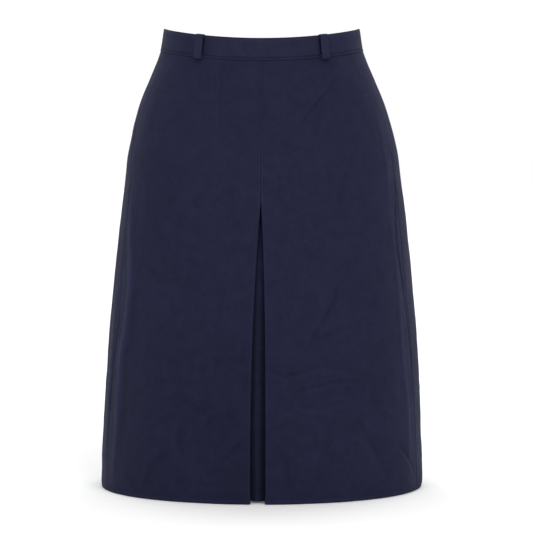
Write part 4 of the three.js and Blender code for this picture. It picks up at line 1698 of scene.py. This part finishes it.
@dataclass
class Studio:
    """Pale floor, soft lights and the camera."""

    floor_clearance: float = 0.0006  # metres between the hem and the floor
    floor_size: float = 14.0
    camera_distance: float = 3.6
    camera_height: float = 0.0015
    camera_side: float = 0.0056
    camera_pitch: float = 5.0
    lens: float = 177.4
    sensor: float = 36.0
    world_strength: float = 0.40  # light that it gives; it shows as plain white
    lamps: tuple[Lamp, ...] = (
        Lamp("key", 24, 48, 1.1),
        Lamp("fill", -28, 36, 0.55),
        Lamp("top", 180, 74, 1.05),
        Lamp("rim_right", -142, 8, 1.4),
        Lamp("rim_left", 142, 8, 1.4),
    )

    def floor(self) -> None:
        """Lays the floor just under the hem."""
        half, level = self.floor_size / 2, CAD_BOX[0].z - self.floor_clearance
        mesh = bpy.data.meshes.new("floor")
        corners = [(half * x, half * y, level) for x, y in ((-1, -1), (1, -1), (1, 1), (-1, 1))]
        mesh.from_pydata(corners, [], [(0, 1, 2, 3)])
        floor = mesh_object("floor", mesh)
        mesh.materials.append(DRESSER.material(FLOOR))

    def camera(self) -> None:
        """Sets the camera level with the waist, looking slightly down."""
        data = bpy.data.cameras.new("camera")
        data.lens, data.sensor_width = self.lens, self.sensor
        camera = bpy.data.objects.new("camera", data)
        bpy.context.scene.collection.objects.link(camera)
        camera.location = (self.camera_side, -self.camera_distance, self.camera_height)
        camera.rotation_euler = (math.radians(90 - self.camera_pitch), 0, 0)
        bpy.context.scene.camera = camera

    def world(self) -> None:
        """Surrounds the scene with plain white light."""
        world = bpy.data.worlds.new("studio")
        world.use_nodes = True
        tree, least = NodeTree(world.node_tree), self.world_strength
        background = world.node_tree.nodes["Background"]
        tree.feed(background.inputs["Color"], (1, 1, 1, 1))
        seen = tree.add("ShaderNodeLightPath").outputs["Is Camera Ray"]
        strength = tree.math("MULTIPLY_ADD", seen, 1 - least, least)
        tree.feed(background.inputs["Strength"], strength)
        bpy.context.scene.world = world
        bpy.context.scene.view_settings.view_transform = "Standard"

    def build(self) -> None:
        """Sets up the whole studio."""
        self.floor()
        self.camera()
        self.world()
        for lamp in self.lamps:
            lamp.place()


# ---------------------------------------------------------------- assembly


def main() -> None:
    """Builds the skirt and the studio, and reports each piece."""
    logging.basicConfig(level=logging.INFO, format="%(name)s: %(message)s")
    form = WornForm()
    fronts = tuple(
        FrontPanel(form, side, f"front_panel_{side.word}", f"front_{side.word}", phase=phase)
        for side, phase in ((Side.RIGHT, 1), (Side.LEFT, 3))
    )
    backs = tuple(
        BackPanel(form, side, f"back_panel_{side.word}", f"back_{side.word}", phase=phase)
        for side, phase in ((Side.LEFT, 6), (Side.RIGHT, 4))
    )
    loops = tuple(
        BeltLoop(form, f"belt_loop_{place}_{side.word}", side.value * degrees)
        for place, degrees in (("front", FRONT_LOOP), ("back", BACK_LOOP))
        for side in Side
    )
    names = ("pleat_underlay_cloth", "pleat_underlay")
    underlay = PleatUnderlay(form, Side.LEFT, *names, fronts=fronts)
    for maker in (*fronts, underlay, *backs, Waistband(form), *loops):
        piece = maker.build()
        LOG.info("%s: %d faces", piece.name, len(piece.data.polygons))
    ConcealedZip(form).build()
    LOG.info("concealed zip: tapes, coil, slider and pull")
    Studio().build()
    LOG.info("studio: floor, lights and camera")


if __name__ == "__main__":
    main()
